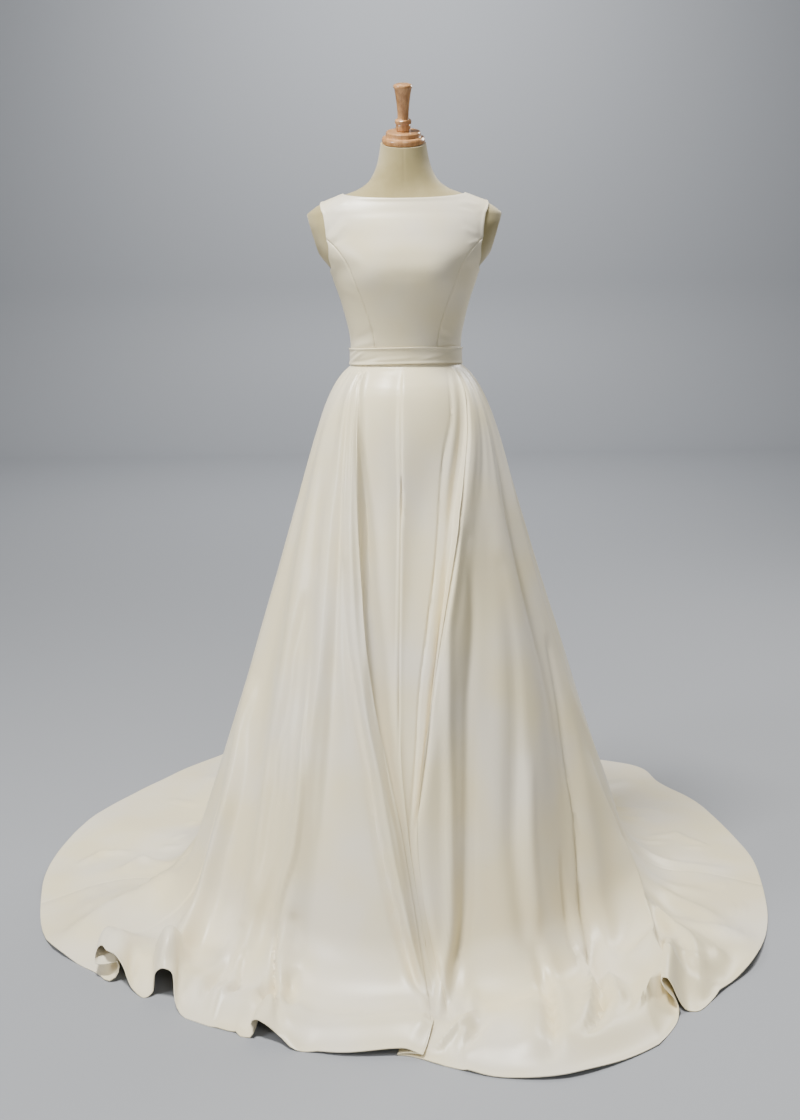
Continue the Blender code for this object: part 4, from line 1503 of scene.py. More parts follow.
@dataclass
class SkirtCloth:
    """The skirt's outer surface by label (its place round the cloth) and share of its length."""

    section: SkirtSection
    stations: tuple[float, ...] = (0.0, 0.15, 0.36, 0.65, 0.92)
    first_label: float = -180.0
    last_label: float = 210.0
    lee: float = 1.7
    crease_fade: tuple[float, float] = (0.35, 0.6)
    recess_left: float = 0.0
    recess_right: float = 24.0
    recess_side: float = 3.2
    recess_depth: tuple[float, ...] = (0.0, 0.016, 0.034, 0.026, 0.004, 0.0, 0.0)
    left_tuck: tuple[LapPoint, ...] = table(LapPoint, (
        (0, 0), (.15, .003), (.36, .010), (.65, .020), (.95, .030), (1.2, .042), (1.34, .050),
    ))
    left_rise: tuple[LapPoint, ...] = table(LapPoint, (
        (0, 0), (.3, 0), (.6, .001), (1.0, .005), (1.2, .007), (1.34, .006),
    ))
    right_tuck: tuple[LapPoint, ...] = table(LapPoint, (
        (0, 0), (.15, .007), (.36, .014), (.65, .018), (.95, .014), (1.2, .003), (1.34, 0),
    ))
    right_rise: tuple[LapPoint, ...] = table(LapPoint, (
        (0, 0), (.10, .002), (.36, .004), (.65, .004), (1.0, .004), (1.2, .001), (1.34, 0),
    ))
    least_radius: float = 0.1
    belt_ease: float = 0.03
    hem_roll: float = 0.0007
    hem_roll_width: float = 0.006
    grain: tuple[GrainLine, ...] = table(GrainLine, (
        (-180, -180, -180, -180, -180, -180, -180, -180),
        (-110, -112, -112, -112, -112, -111, -110, -110), (-78, -90, -92, -92, -92, -93, -92, -83),
        (-71, -86, -86, -87, -87, -84, -83, -70), (-62, -80, -82, -82, -80, -65, -57, -49),
        (-44, -66, -62, -57, -47, -43, -40, -36), (-27, -57, -45, -37, -30, -28, -27, -26),
        (-10, -54, -39, -30.5, -20.5, -8.5, -4, -9), (0, -50, -35, -25, -13.5, -2.5, 3, 1),
        (24, 60, 44, 23.5, 8, 1, 6.5, 6), (38, 68, 56, 36, 22, 15, 11, 10),
        (60, 80, 70, 60, 59, 50, 39, 31), (74, 90, 84, 73, 71, 80, 63, 47),
        (83, 92, 88, 80, 80, 86, 73, 58), (100, 96, 95, 93, 92, 94, 92, 86),
        (130, 114, 114, 113, 113, 113, 113, 113), (210, 180, 180, 180, 180, 180, 180, 180),
    ))
    folds: tuple[Fold, ...] = table(Fold, (
        (-170, 9, 9, 2, 10, 20, 20, 4), (-156, 7, 7, -2, -10, -18, -10, 0),
        (-142, 8, 7, 2, 9, 20, 24, 8), (-128, 7, 7, -2, -9, -17, -10, 0),
        (-113, 8, 8, 2, 4, 7, 8, 5), (-99, 6, 7, -2, -6, -10, -8, 0), (-84, 6, 4, 1, 3, 5, 4, 3),
        (-71, 2.6, 5, 0, 2, 5, 14, 2), (-61, 3.2, 6, 1, 4, 10, 14, 2),
        (-54, 4, 5, 0, -6, -16, -12, 0), (-47, 4, 4, 1, 4, 8, 10, 3),
        (-41, 4, 5, -2, -8, -14, -6, 0), (-31, 6, 3, 3, 10, 14, 10, 0),
        (-25, 2.5, 5, -2, -6, -10, -4, 0), (-4, 12, 2.2, 2, 6, 12, 12, 6),
        (28, 2.2, 7, 1, 2, 4, 5, 3), (39, 6, 6, 0, -3, -10, -6, 0), (50, 7, 6, 2, 8, 13, 12, 6),
        (60, 4, 4, -2, -8, -14, -12, 0), (73, 7, 4.0, 2, 6, 8, 16, 8),
        (84, 4.0, 4.0, 0, 0, 0, 6, 10), (108, 5, 8, 1, 2, 3, 6, 5), (122, 6, 6, -2, -7, -12, -8, 0),
        (136, 8, 8, 2, 4, 7, 8, 5), (151, 7, 7, -2, -9, -17, -10, 0), (166, 8, 7, 2, 9, 20, 24, 8),
        (180, 7, 7, -2, -10, -18, -10, 0), (195, 7, 9, 2, 10, 19, 20, 4),
        (9.4, 2.4, 2.4, 3, 9, 7, 0, 0), (19, 2.4, 2.0, 2, 6, 5, 0, 0),
    ))
    curls: tuple[Curl, ...] = table(Curl, (
        (-150, 5.0, 0.014, 0.020, 3.0, 1.0, 0.16), (144, 5.0, 0.060, 0.004, 0.0, 0.0, 0.15),
        (162, 5.0, 0.012, 0.018, 3.0, -1.0, 0.16),
    ))
    wave_length: float = 0.17
    train_relief: float = 2.0
    foot_swell: float = 0.024
    foot_above: float = 0.06
    foot_rise: float = 0.10
    foot_fall: float = 0.07
    foot_side: float = 66.0
    foot_fade: float = 12.0
    floor_calm: float = 0.5
    ripples: tuple[Ripple, ...] = (
        Ripple(0.0008, 0.31, 4.1, 0.7, 0.11, 9.3, 0.0),
        Ripple(0.00048, 0.83, -6.2, 2.1, 0.0, 15.0, 1.3),
    )
    waves: tuple[tuple[EdgePoint, ...], ...] = (
        table(EdgePoint, (
            (-69, -65.3, 0.718, 0.0), (-68, -61.2, 0.697, 0.0), (-67.4, -57.6, 0.681, 0.001),
            (-66.9, -54.2, 0.674, 0.002), (-66.6, -53.7, 0.661, 0.012),
            (-66.4, -54.1, 0.656, 0.020), (-66.2, -55.0, 0.655, 0.026),
            (-65.9, -55.4, 0.670, 0.024), (-65.6, -56.6, 0.685, 0.022),
            (-65.3, -57.6, 0.686, 0.030), (-65.0, -58.1, 0.679, 0.042),
            (-64.7, -57.9, 0.671, 0.048), (-64.3, -55.8, 0.670, 0.048),
            (-63.8, -54.3, 0.662, 0.046), (-63.3, -52.9, 0.658, 0.038),
            (-62.8, -52.0, 0.655, 0.027), (-62.4, -51.2, 0.654, 0.014),
            (-61.9, -49.6, 0.655, 0.004), (-60.8, -46.5, 0.652, 0.0), (-60.0, -46.2, 0.637, 0.008),
            (-59.4, -46.3, 0.635, 0.022), (-58.8, -46.1, 0.634, 0.036),
            (-58.2, -45.4, 0.630, 0.046), (-57.6, -44.5, 0.626, 0.050),
            (-57.0, -43.5, 0.620, 0.048), (-56.4, -42.6, 0.620, 0.040),
            (-55.7, -41.9, 0.625, 0.020), (-54.6, -40.4, 0.635, 0.006), (-52.6, -37.6, 0.646, 0.0),
            (-50.0, -35.4, 0.644, 0.0), (-45.0, -32.8, 0.642, 0.0), (-36.0, -31.3, 0.640, 0.0),
        )),
        table(EdgePoint, (
            (-30, -27.8, 0.640, 0.0), (-29.0, -26.9, 0.641, 0.0), (-28.3, -25.4, 0.638, 0.001),
            (-27.9, -25.0, 0.637, 0.010), (-27.4, -25.6, 0.634, 0.020),
            (-27.0, -25.3, 0.633, 0.027), (-26.5, -24.6, 0.631, 0.029),
            (-25.7, -23.5, 0.632, 0.027), (-24.8, -22.2, 0.632, 0.021),
            (-23.2, -20.3, 0.636, 0.011), (-21.3, -18.4, 0.645, 0.004), (-19.5, -16.9, 0.645, 0.0),
            (-15.0, -14.0, 0.642, 0.0),
        )),
        table(EdgePoint, (
            (62, 33.3, 0.725, 0.0), (64.3, 36.1, 0.714, 0.0), (65.6, 38.7, 0.701, 0.0),
            (66.3, 40.1, 0.691, 0.002), (66.8, 40.8, 0.684, 0.008), (67.2, 40.8, 0.679, 0.018),
            (67.6, 40.4, 0.670, 0.028), (68.0, 40.0, 0.661, 0.038), (68.3, 40.0, 0.655, 0.046),
            (68.6, 40.6, 0.653, 0.050), (68.9, 41.0, 0.660, 0.050), (69.2, 41.1, 0.669, 0.042),
            (69.6, 41.4, 0.676, 0.026), (70.0, 41.6, 0.684, 0.012), (70.5, 42.1, 0.692, 0.002),
            (71.2, 42.9, 0.701, 0.0), (73.6, 46.2, 0.703, 0.0), (76.5, 50.0, 0.702, 0.0),
        )),
    )
    creases: tuple[Crease, ...] = table(Crease, (
        (((.018, -58, 1.5), (.068, -42.5, 2.5), (.131, -35, 3), (.20, -31, 3), (.289, -26, 2),
          (.40, -21, 0)), .003, .030),
        (((.018, -59.8, -2), (.068, -43.9, -3), (.131, -36.1, -3), (.20, -32.1, -3),
          (.289, -27.3, -3), (.415, -21.4, -3), (.531, -16.6, -3), (.673, -11.5, -4), (.78, -8, -4),
          (.865, -5, -3), (.95, -2, 0)), .0028, .0028),
        (((.03, -64, 0), (.05, -62, -2), (.15, -52, -5), (.30, -42, -7), (.45, -36, -6),
          (.70, -30, -3), (.90, -27, 0)), .026, .012),
        (((.018, -5.5, 1.2), (.091, -4, 2), (.195, -3.2, 2.5), (.289, -3.2, 3), (.45, -3.5, 3),
          (.632, -3.7, 2.5), (.82, -3.4, 1.5), (.95, -2, 0)), .003, .030),
        (((.018, -8, -2), (.15, -8, -5), (.25, -7, -7), (.30, -6.5, -8), (.42, -6.5, -5),
          (.60, -6.5, -3), (.80, -6, 0)), .022, .005),
        (((.25, -4, 0), (.28, -3.8, -8), (.315, -3.6, -8), (.35, -3.6, 0)), .0028, .0025),
        (((.018, -5.9, -2), (.167, -4, -2.5), (.50, -4.2, -2), (.78, -4, -2), (.94, -2.5, 0)),
         .0022, .0022),
        (((.018, 51, -1.5), (.076, 40.1, -2.5), (.151, 32.6, -2.5), (.203, 25.6, -2.5),
          (.265, 21.1, -2.5), (.384, 15.4, -3), (.546, 7.4, -4), (.672, 2.9, -3), (.761, 1.5, -3),
          (.87, -.2, -2), (.95, -1.6, 0)), .0026, .0026),
        (((.018, 54, 2), (.076, 44, 3.5), (.151, 36, 4.5), (.265, 25, 5), (.384, 19, 5),
          (.546, 10, 4), (.70, 5, 2), (.80, 3, 0)), .008, .020),
        (((.033, 58, -2), (.079, 52.8, -4), (.13, 46.2, -5), (.187, 40.3, -6), (.223, 36.4, -6),
          (.288, 30.2, -6), (.402, 21.4, -6), (.561, 12, -6), (.672, 7.3, -5), (.759, 4.8, -5),
          (.846, 2.4, -4), (.94, -.5, 0)), .003, .0026),
        (((.35, 24, 3), (.422, 21, 6), (.568, 13.7, 9), (.674, 12.2, 9), (.845, 10.8, 9),
          (.977, 9.5, 9), (1.065, 8.6, 8), (1.131, 6.3, 7), (1.195, 4.3, 5), (1.26, 3, 0)),
         .010, .010),
        (((.36, 30, -2), (.423, 27.2, -3), (.498, 26.7, -5), (.678, 20.3, -7), (.854, 16.2, -8),
          (.939, 14.6, -9), (1.024, 12.8, -11), (1.084, 10.4, -12), (1.155, 7.8, -10),
          (1.223, 5.2, -4)), .011, .013),
        (((.43, 43.5, -2), (.58, 40.3, -5), (.69, 36.6, -7), (.868, 29.8, -8), (.945, 27.4, -8),
          (1.08, 26.3, -7), (1.16, 27, 0)), .018, .014),
        (((.78, 38, 0), (.831, 36.1, 4), (.953, 32, 6), (1.052, 30.7, 5), (1.12, 28.6, 0)),
         .014, .010),
        (((1.08, 30.6, 0), (1.142, 29, 7), (1.23, 25.9, 9), (1.307, 22.3, 8), (1.37, 20, 0)),
         .010, .022),
        (((1.20, 21, 0), (1.25, 19.5, 7), (1.32, 17, 8), (1.38, 15, 0)), .025, .012),
        (((1.09, 29.2, 0), (1.128, 28.2, -5), (1.162, 27.3, -11), (1.253, 23.5, -17),
          (1.323, 20.4, -17), (1.384, 17.9, -5)), .012, .013),
        (((.60, 65.2, -3), (.718, 62.5, -5), (.837, 57.6, -6), (.91, 55.3, -7), (1.007, 51, -8),
          (1.08, 48, -5), (1.14, 45, 0)), .006, .007),
        (((1.0, 51.3, 0), (1.07, 48.5, -5), (1.123, 46.2, -9), (1.192, 40.9, -13),
          (1.245, 35.1, -16), (1.307, 29.9, -18), (1.345, 26, -11), (1.365, 23.8, 0)), .012, .013),
        (((.65, 67, 0), (.75, 66, 3), (.91, 59.5, 6), (1.007, 55.5, 8), (1.123, 50.5, 9),
          (1.192, 44.5, 10), (1.245, 38.8, 11), (1.307, 33, 10), (1.34, 30, 0)), .012, .030),
        (((1.0, 48, 0), (1.123, 43.2, 5), (1.192, 38.4, 7), (1.245, 33, 9), (1.307, 27.5, 11),
          (1.35, 24, 0)), .022, .010),
        (((.983, 43.2, -3), (1.025, 42.3, -6), (1.112, 40.4, -8), (1.166, 38.2, -8),
          (1.201, 36.6, -5), (1.24, 35, 0)), .009, .009),
        (((.83, 69, 0), (.884, 69.2, 5), (.971, 69.8, 12), (1.053, 68, 20), (1.135, 62.1, 28),
          (1.207, 54, 34), (1.27, 47, 36), (1.34, 41.5, 30)), .050, .010),
        (((1.0, 70, 3), (1.053, 69, 8), (1.13, 67.5, 14), (1.215, 61.8, 16), (1.267, 57.2, 13),
          (1.314, 52, 7), (1.36, 48, 0)), .030, .008),
        (((.70, -71, 5), (.758, -70.1, 8), (.831, -65.3, 11), (.901, -62.7, 14), (.973, -61.8, 18),
          (1.065, -59.8, 24), (1.163, -54.5, 30), (1.286, -47.3, 26), (1.33, -45, 20)), .040, .008),
        (((1.04, -104, 0), (1.11, -96, 8), (1.157, -86.1, 18), (1.226, -78.6, 22),
          (1.306, -72.6, 22), (1.36, -70, 13), (1.42, -68.3, 0)), .020, .060),
        (((.90, 73, 0), (.98, 73.5, -6), (1.06, 72.5, -9), (1.13, 68, -7), (1.20, 59.5, -4),
          (1.27, 52, -1), (1.32, 47, 0)), .012, .020),
        (((.75, -67.5, 0), (.831, -62.5, -5), (.901, -60, -8), (.973, -59, -9), (1.065, -57, -9),
          (1.163, -52, -6), (1.22, -49, 0)), .010, .022),
        (((.80, -74, 0), (.87, -73, -3), (.95, -72, -4), (1.03, -71, -4), (1.12, -69, -3),
          (1.2, -66, 0)), .003, .004),
        (((.50, -50, -3), (.581, -49.9, -8), (.716, -47.4, -11), (.787, -47.5, -12),
          (.853, -45.7, -12), (.908, -44.9, -11), (.972, -43.6, -7), (1.03, -43, 0)), .011, .011),
        (((.60, -44.5, 2), (.726, -43, 5), (.834, -40, 6), (.903, -39.3, 6), (.993, -40.1, 6),
          (1.067, -41.4, 5), (1.138, -40.6, 4), (1.2, -39, 0)), .012, .012),
        (((.45, -45, 2), (.575, -42, 4), (.686, -37.4, 6), (.772, -35, 7), (.827, -32.9, 7),
          (.942, -31.8, 8), (1.027, -33.8, 8), (1.07, -34.2, 6), (1.10, -34, 0)), .024, .005),
        (((.62, -31, 0), (.681, -29.6, 4), (.786, -28.6, 5), (.875, -27.7, 3), (.93, -27, 0)),
         .008, .009),
        (((1.03, -34.4, 0), (1.07, -34, -5), (1.114, -33, -9), (1.16, -30.4, -11),
          (1.193, -28.5, -11), (1.262, -25, -8), (1.30, -24, 0)), .004, .004),
        (((1.06, -32, 0), (1.114, -31, 5), (1.16, -28.6, 8), (1.193, -26.8, 9), (1.262, -23.5, 8),
          (1.31, -22.5, 4)), .006, .030),
        (((1.15, -33.5, 0), (1.193, -31, 6), (1.25, -28.2, 12), (1.30, -26.5, 14), (1.34, -26, 12)),
         .014, .006),
        (((1.044, -30.3, 0), (1.062, -29.7, -7), (1.085, -28.7, -5), (1.11, -28, 0)), .010, .012),
        (((1.14, -27, 0), (1.17, -26.2, -14), (1.21, -25, -18), (1.25, -23.8, -12), (1.28, -23, 0)),
         .010, .014),
        (((1.12, -41, 0), (1.151, -39.9, -7), (1.2, -36.5, -12), (1.231, -34.3, -10),
          (1.26, -33, 0)), .008, .008),
        (((.42, -29.6, -3), (.548, -25, -8), (.675, -18.5, -12), (.823, -11.9, -15),
          (.907, -9.3, -16), (.996, -5.9, -17), (1.085, -2.2, -17), (1.14, .3, -14),
          (1.175, 2.6, 0)), .011, .009),
        (((.50, -19, 2), (.568, -17, 4), (.675, -14.6, 6), (.821, -8.7, 7), (.96, -4.2, 8),
          (1.076, -.4, 8), (1.155, 2.2, 7), (1.24, 2.4, 4)), .009, .006),
        (((1.10, -45, -3), (1.17, -43, -12), (1.25, -42, -20), (1.31, -41, 0)), .012, .014),
        (((1.15, -40, 0), (1.2, -37.5, 8), (1.26, -36, 10), (1.31, -36, 0)), .012, .020),
        (((1.15, 12, 0), (1.176, 11.1, 6), (1.239, 9.4, 10), (1.285, 5.8, 10), (1.306, 3.1, 6),
          (1.32, 1, 0)), .008, .010),
        (((1.25, 11.5, 0), (1.28, 9.6, -16), (1.31, 8, -12), (1.33, 7, 0)), .010, .014),
        (((1.17, 41, -3), (1.23, 40, -16), (1.29, 40, -16), (1.33, 40, 0)), .022, .016),
        (((1.2, 35, 0), (1.24, 34, 9), (1.29, 33.5, 8), (1.33, 33.5, 0)), .010, .012),
    ))
    floor_creases: tuple[FloorCrease, ...] = table(FloorCrease, (
        (-127.2, 0.722, -128.2, 0.655, 2.5, 6), (-119.7, 0.594, -121.3, 0.587, 2, 5),
        (-110.9, 0.565, -112.7, 0.548, 2, 5), (-106.9, 0.569, -106.8, 0.534, 2, 5),
        (-97.6, 0.717, -101.9, 0.696, 2.5, 7), (-101.9, 0.696, -103.3, 0.642, 3, 6),
        (-100.8, 0.685, -101.3, 0.620, -2, 6), (-95.8, 0.615, -100.8, 0.593, 4, 9),
        (-100.8, 0.593, -96.6, 0.523, 4, 8), (-93.3, 0.562, -89.5, 0.542, -5, 14),
        (-87.9, 0.669, -86.5, 0.633, 2, 7), (-81.1, 0.668, -80.5, 0.613, 2.5, 7),
        (-75.5, 0.712, -76.3, 0.683, 2, 8), (127.2, 0.590, 119.6, 0.655, 3, 9),
        (130.2, 0.625, 129.8, 0.659, 2, 6), (120.7, 0.561, 117.5, 0.604, 2, 6),
        (107.4, 0.490, 106.6, 0.576, 2.5, 7), (109.3, 0.564, 108.8, 0.624, 3, 8),
        (108.8, 0.624, 103.0, 0.653, 3, 8), (102.4, 0.617, 101.3, 0.644, 2, 5),
        (99.4, 0.466, 92.5, 0.638, 3.5, 9), (87.4, 0.606, 86.3, 0.643, 2.5, 7),
        (85.5, 0.479, 83.0, 0.588, 3.5, 9), (80.2, 0.511, 72.0, 0.616, 4, 10),
        (69.2, 0.553, 70.8, 0.589, 2, 6), (68.2, 0.550, 66.4, 0.673, 4.5, 12),
        (76.0, 0.633, 77.0, 0.671, 2.5, 7), (51.1, 0.614, 52.4, 0.667, 3, 8),
        (46.3, 0.631, 50.0, 0.691, 3, 8), (57.9, 0.649, 56.1, 0.675, 3, 8),
        (150.0, 0.640, 147.0, 0.760, 3, 9), (158.0, 0.660, 160.0, 0.800, 4, 11),
        (170.0, 0.680, 172.0, 0.780, 3, 9), (176.0, 0.760, 179.0, 0.880, 3, 10),
        (-174.0, 0.690, -171.0, 0.820, 3.5, 10), (-164.0, 0.650, -162.0, 0.760, 3, 8),
        (-156.0, 0.720, -158.0, 0.850, 3, 9), (-147.0, 0.640, -145.0, 0.780, 4, 11),
        (-138.0, 0.620, -137.0, 0.740, 3, 8), (136.0, 0.650, 134.0, 0.740, 2.5, 8),
    ))

    def __post_init__(self) -> None:
        """Draws the grain's curves and the two laps beside the recess."""
        names = ("belt", "hip", "thigh", "knee", "shin", "floor", "hem")
        self.grain_curves = [table_curve(self.grain, "label", name) for name in names]
        self.laps = (
            Lap(self.recess_left, 1, lap_curve(self.left_tuck), lap_curve(self.left_rise)),
            Lap(self.recess_right, -1, lap_curve(self.right_tuck), lap_curve(self.right_rise)),
        )

    def lengths(self, label: Grid) -> tuple[list[Grid], Grid]:
        """Stations of each label's line, and its whole length.

        Args:
            label: Places round the cloth.

        Returns:
            The stations' lengths, and the whole length.
        """
        end = self.grain_curves[-1](label)
        total = self.section.read(self.section.totals, end)
        floor = self.section.read(self.section.floors, end)
        fixed = [np.full_like(label, station) for station in self.stations]
        return fixed + [floor, total], total

    @staticmethod
    def along(stations: list[Grid], values: list[Grid], length: Grid) -> Grid:
        """Reads smooth curves, one for each point, through values at the stations.

        Args:
            stations: Lengths at which the values hold.
            values: The values.
            length: Where to read.

        Returns:
            The value at each point.
        """
        xs, ys = np.stack(stations), np.stack(values)
        slopes = gentle_slopes(xs, ys)
        i = np.clip((xs < length).sum(axis=0) - 1, 0, len(xs) - 2)
        each = np.arange(xs.shape[1])
        width = xs[i + 1, each] - xs[i, each]
        t = np.clip((length - xs[i, each]) / width, 0.0, 1.0)
        return cubic(t, ys[i, each], ys[i + 1, each],
                     slopes[i, each] * width, slopes[i + 1, each] * width)

    def fold_height(self, label: Grid, stations: list[Grid], length: Grid,
                    floorness: Grid) -> Grid:
        """The sum of the folds along the grain and of the recess.

        Args:
            label: Places round the cloth.
            stations: Lengths at which the folds' rises hold.
            length: Lengths down the cloth.
            floorness: 0 where the cloth hangs, 1 on the floor.

        Returns:
            The rise at each point, in metres.
        """
        total = np.zeros_like(label)
        turn = self.last_label - self.first_label
        flat = np.zeros_like(label)
        for fold in self.folds:
            away = (label - fold.label + turn / 2) % turn - turn / 2
            distance = away / np.where(away < 0, fold.left, fold.right)
            heights = (0.0, fold.hip, fold.thigh, fold.knee, 0.5 * (fold.knee + fold.floor),
                       fold.floor, fold.hem)
            rise = self.along(stations, [flat + h / 1000.0 for h in heights], length)
            rise = np.where(rise < 0.0, rise * (1.0 - floorness), rise)
            total += rise * bump(distance)
        inside = ease((label - self.recess_left) / self.recess_side)
        inside *= ease((self.recess_right - label) / self.recess_side)
        depth = self.along(stations, [flat + d for d in self.recess_depth], length)
        return total - depth * inside * (1.0 - floorness)

    def crease_height(self, azimuth: Grid, radius: Grid, length: Grid) -> Grid:
        """The sum of the creases that follow their own lines down the cloth.

        Args:
            azimuth: Azimuths of the points.
            radius: Their distances from the axis.
            length: Lengths down the cloth.

        Returns:
            The rise at each point, in metres.
        """
        total = np.zeros_like(azimuth)
        for crease in self.creases:
            lengths, azimuths, rises = zip(*crease.places)
            away = np.radians(azimuth - Curve(lengths, azimuths)(length)) * radius
            rise = np.interp(length, lengths, rises, left=0.0, right=0.0) / 1000.0
            total += rise * bump(away / np.where(away < 0, crease.left, crease.right))
        return total

    def floor_height(self, azimuth: Grid, radius: Grid) -> Grid:
        """The fine creases of the train.

        Args:
            azimuth: Azimuths of the points.
            radius: Their distances from the axis.

        Returns:
            The rise at each point, in metres.
        """
        total = np.zeros_like(azimuth)
        x, y = on_plan(azimuth, radius)
        for crease in self.floor_creases:
            share, away = beside_line(x, y, on_plan(crease.azimuth0, crease.radius0),
                                      on_plan(crease.azimuth1, crease.radius1))
            width = crease.width / 1000.0
            shape = bump(away / np.where(away < 0, width, self.lee * width))
            total += crease.rise / 1000.0 * fade_ends(share, self.crease_fade) * shape
        return total

    def drift(self, label: Grid, length: Grid) -> Grid:
        """The slight unevenness of real cloth.

        Args:
            label: Places round the cloth.
            length: Lengths down the cloth.

        Returns:
            The rise at each point, in metres.
        """
        total = np.zeros_like(label)
        for ripple in self.ripples:
            wave = np.sin(label * ripple.label1 + length * ripple.length1 + ripple.phase1)
            wave *= np.sin(label * ripple.label2 + length * ripple.length2 + ripple.phase2)
            total += ripple.size * wave
        return total

    def plain_points(self, label: Grid, share: Grid) -> Grid:
        """The cloth's outer surface before its hem stands up in waves.

        Args:
            label: Places round the cloth.
            share: Shares of the way from belt to hem.

        Returns:
            The points, one row each.
        """
        stations, total = self.lengths(label)
        length = share * total
        azimuth = self.along(stations, [curve(label) for curve in self.grain_curves], length)
        rough = np.maximum(self.section.outline(azimuth, length)[0], self.least_radius)
        lapped = np.zeros_like(label)
        for lap in self.laps:
            azimuth = azimuth + np.degrees(lap.shift(label, length) / rough)
            lapped += lap.height(label, length)
        notch, lift, shift = (np.zeros_like(label) for _ in range(3))
        for curl in self.curls:
            t = (azimuth - curl.azimuth) / curl.reach
            nearness = ease((length - (total - curl.length)) / curl.length) * bump(t)
            shift += nearness * (curl.lean - curl.pinch * t ** 3)
            notch += nearness * curl.notch
            lift += nearness * curl.lift
        own_total = self.section.read(self.section.totals, azimuth)
        own = length + (own_total - total) * ease(2.0 * share - 1.0)
        r, z = self.section.outline(azimuth, own)
        out, up = self.section.slope(azimuth, own)
        bend = self.section.read(self.section.bends, azimuth)
        floor = self.section.read(self.section.floors, azimuth)
        floorness = ease((length - bend) / (floor - bend))
        height = self.fold_height(label, stations, length, floorness) + lapped
        height += self.crease_height(azimuth, r, length)
        height += self.train_relief * self.floor_height(azimuth, r) * floorness
        foot = ease((length - floor + self.foot_above) / self.foot_rise)
        foot *= ease((total - length) / self.foot_fall)
        foot *= ease((self.foot_side + azimuth) / self.foot_fade)
        height += self.foot_swell * foot * ease((self.foot_side - azimuth) / self.foot_fade)
        height += self.drift(label, length) * (1.0 - self.floor_calm * floorness)
        height += self.hem_roll * bump((total * (1.0 - share)) / self.hem_roll_width)
        height = height * ease((length - BELT_HEIGHT / 2) / self.belt_ease) + lift
        x, y = on_plan(azimuth + shift, r + out * height - notch)
        return np.stack((x, y, np.maximum(z + up * height, CLOTH)), axis=-1)

    def points(self, label: Grid, share: Grid) -> Grid:
        """The cloth's outer surface.

        Args:
            label: Places round the cloth.
            share: Shares of the way from belt to hem.

        Returns:
            The points, one row each.
        """
        points = self.plain_points(label, share)
        for wave in self.waves:
            labels, azimuths, radii, heights = (np.array(values) for values in zip(*wave))
            here = (label > labels[0]) & (label < labels[-1])
            if not here.any():
                continue
            edge = np.stack((*on_plan(azimuths, radii), heights + CLOTH), axis=-1)
            edge[[0, -1]] = self.plain_points(labels[[0, -1]], np.ones(2))
            standing = np.stack([Curve(labels, edge[:, k])(label[here]) for k in range(3)], axis=-1)
            plain = self.plain_points(label[here], np.ones(int(here.sum())))
            total = self.lengths(label[here])[1]
            near = ease(1.0 - total * (1.0 - share[here]) / self.wave_length)
            points[here] += (standing - plain) * near[:, None]
        points[:, 2] = np.maximum(points[:, 2], CLOTH)
        return points


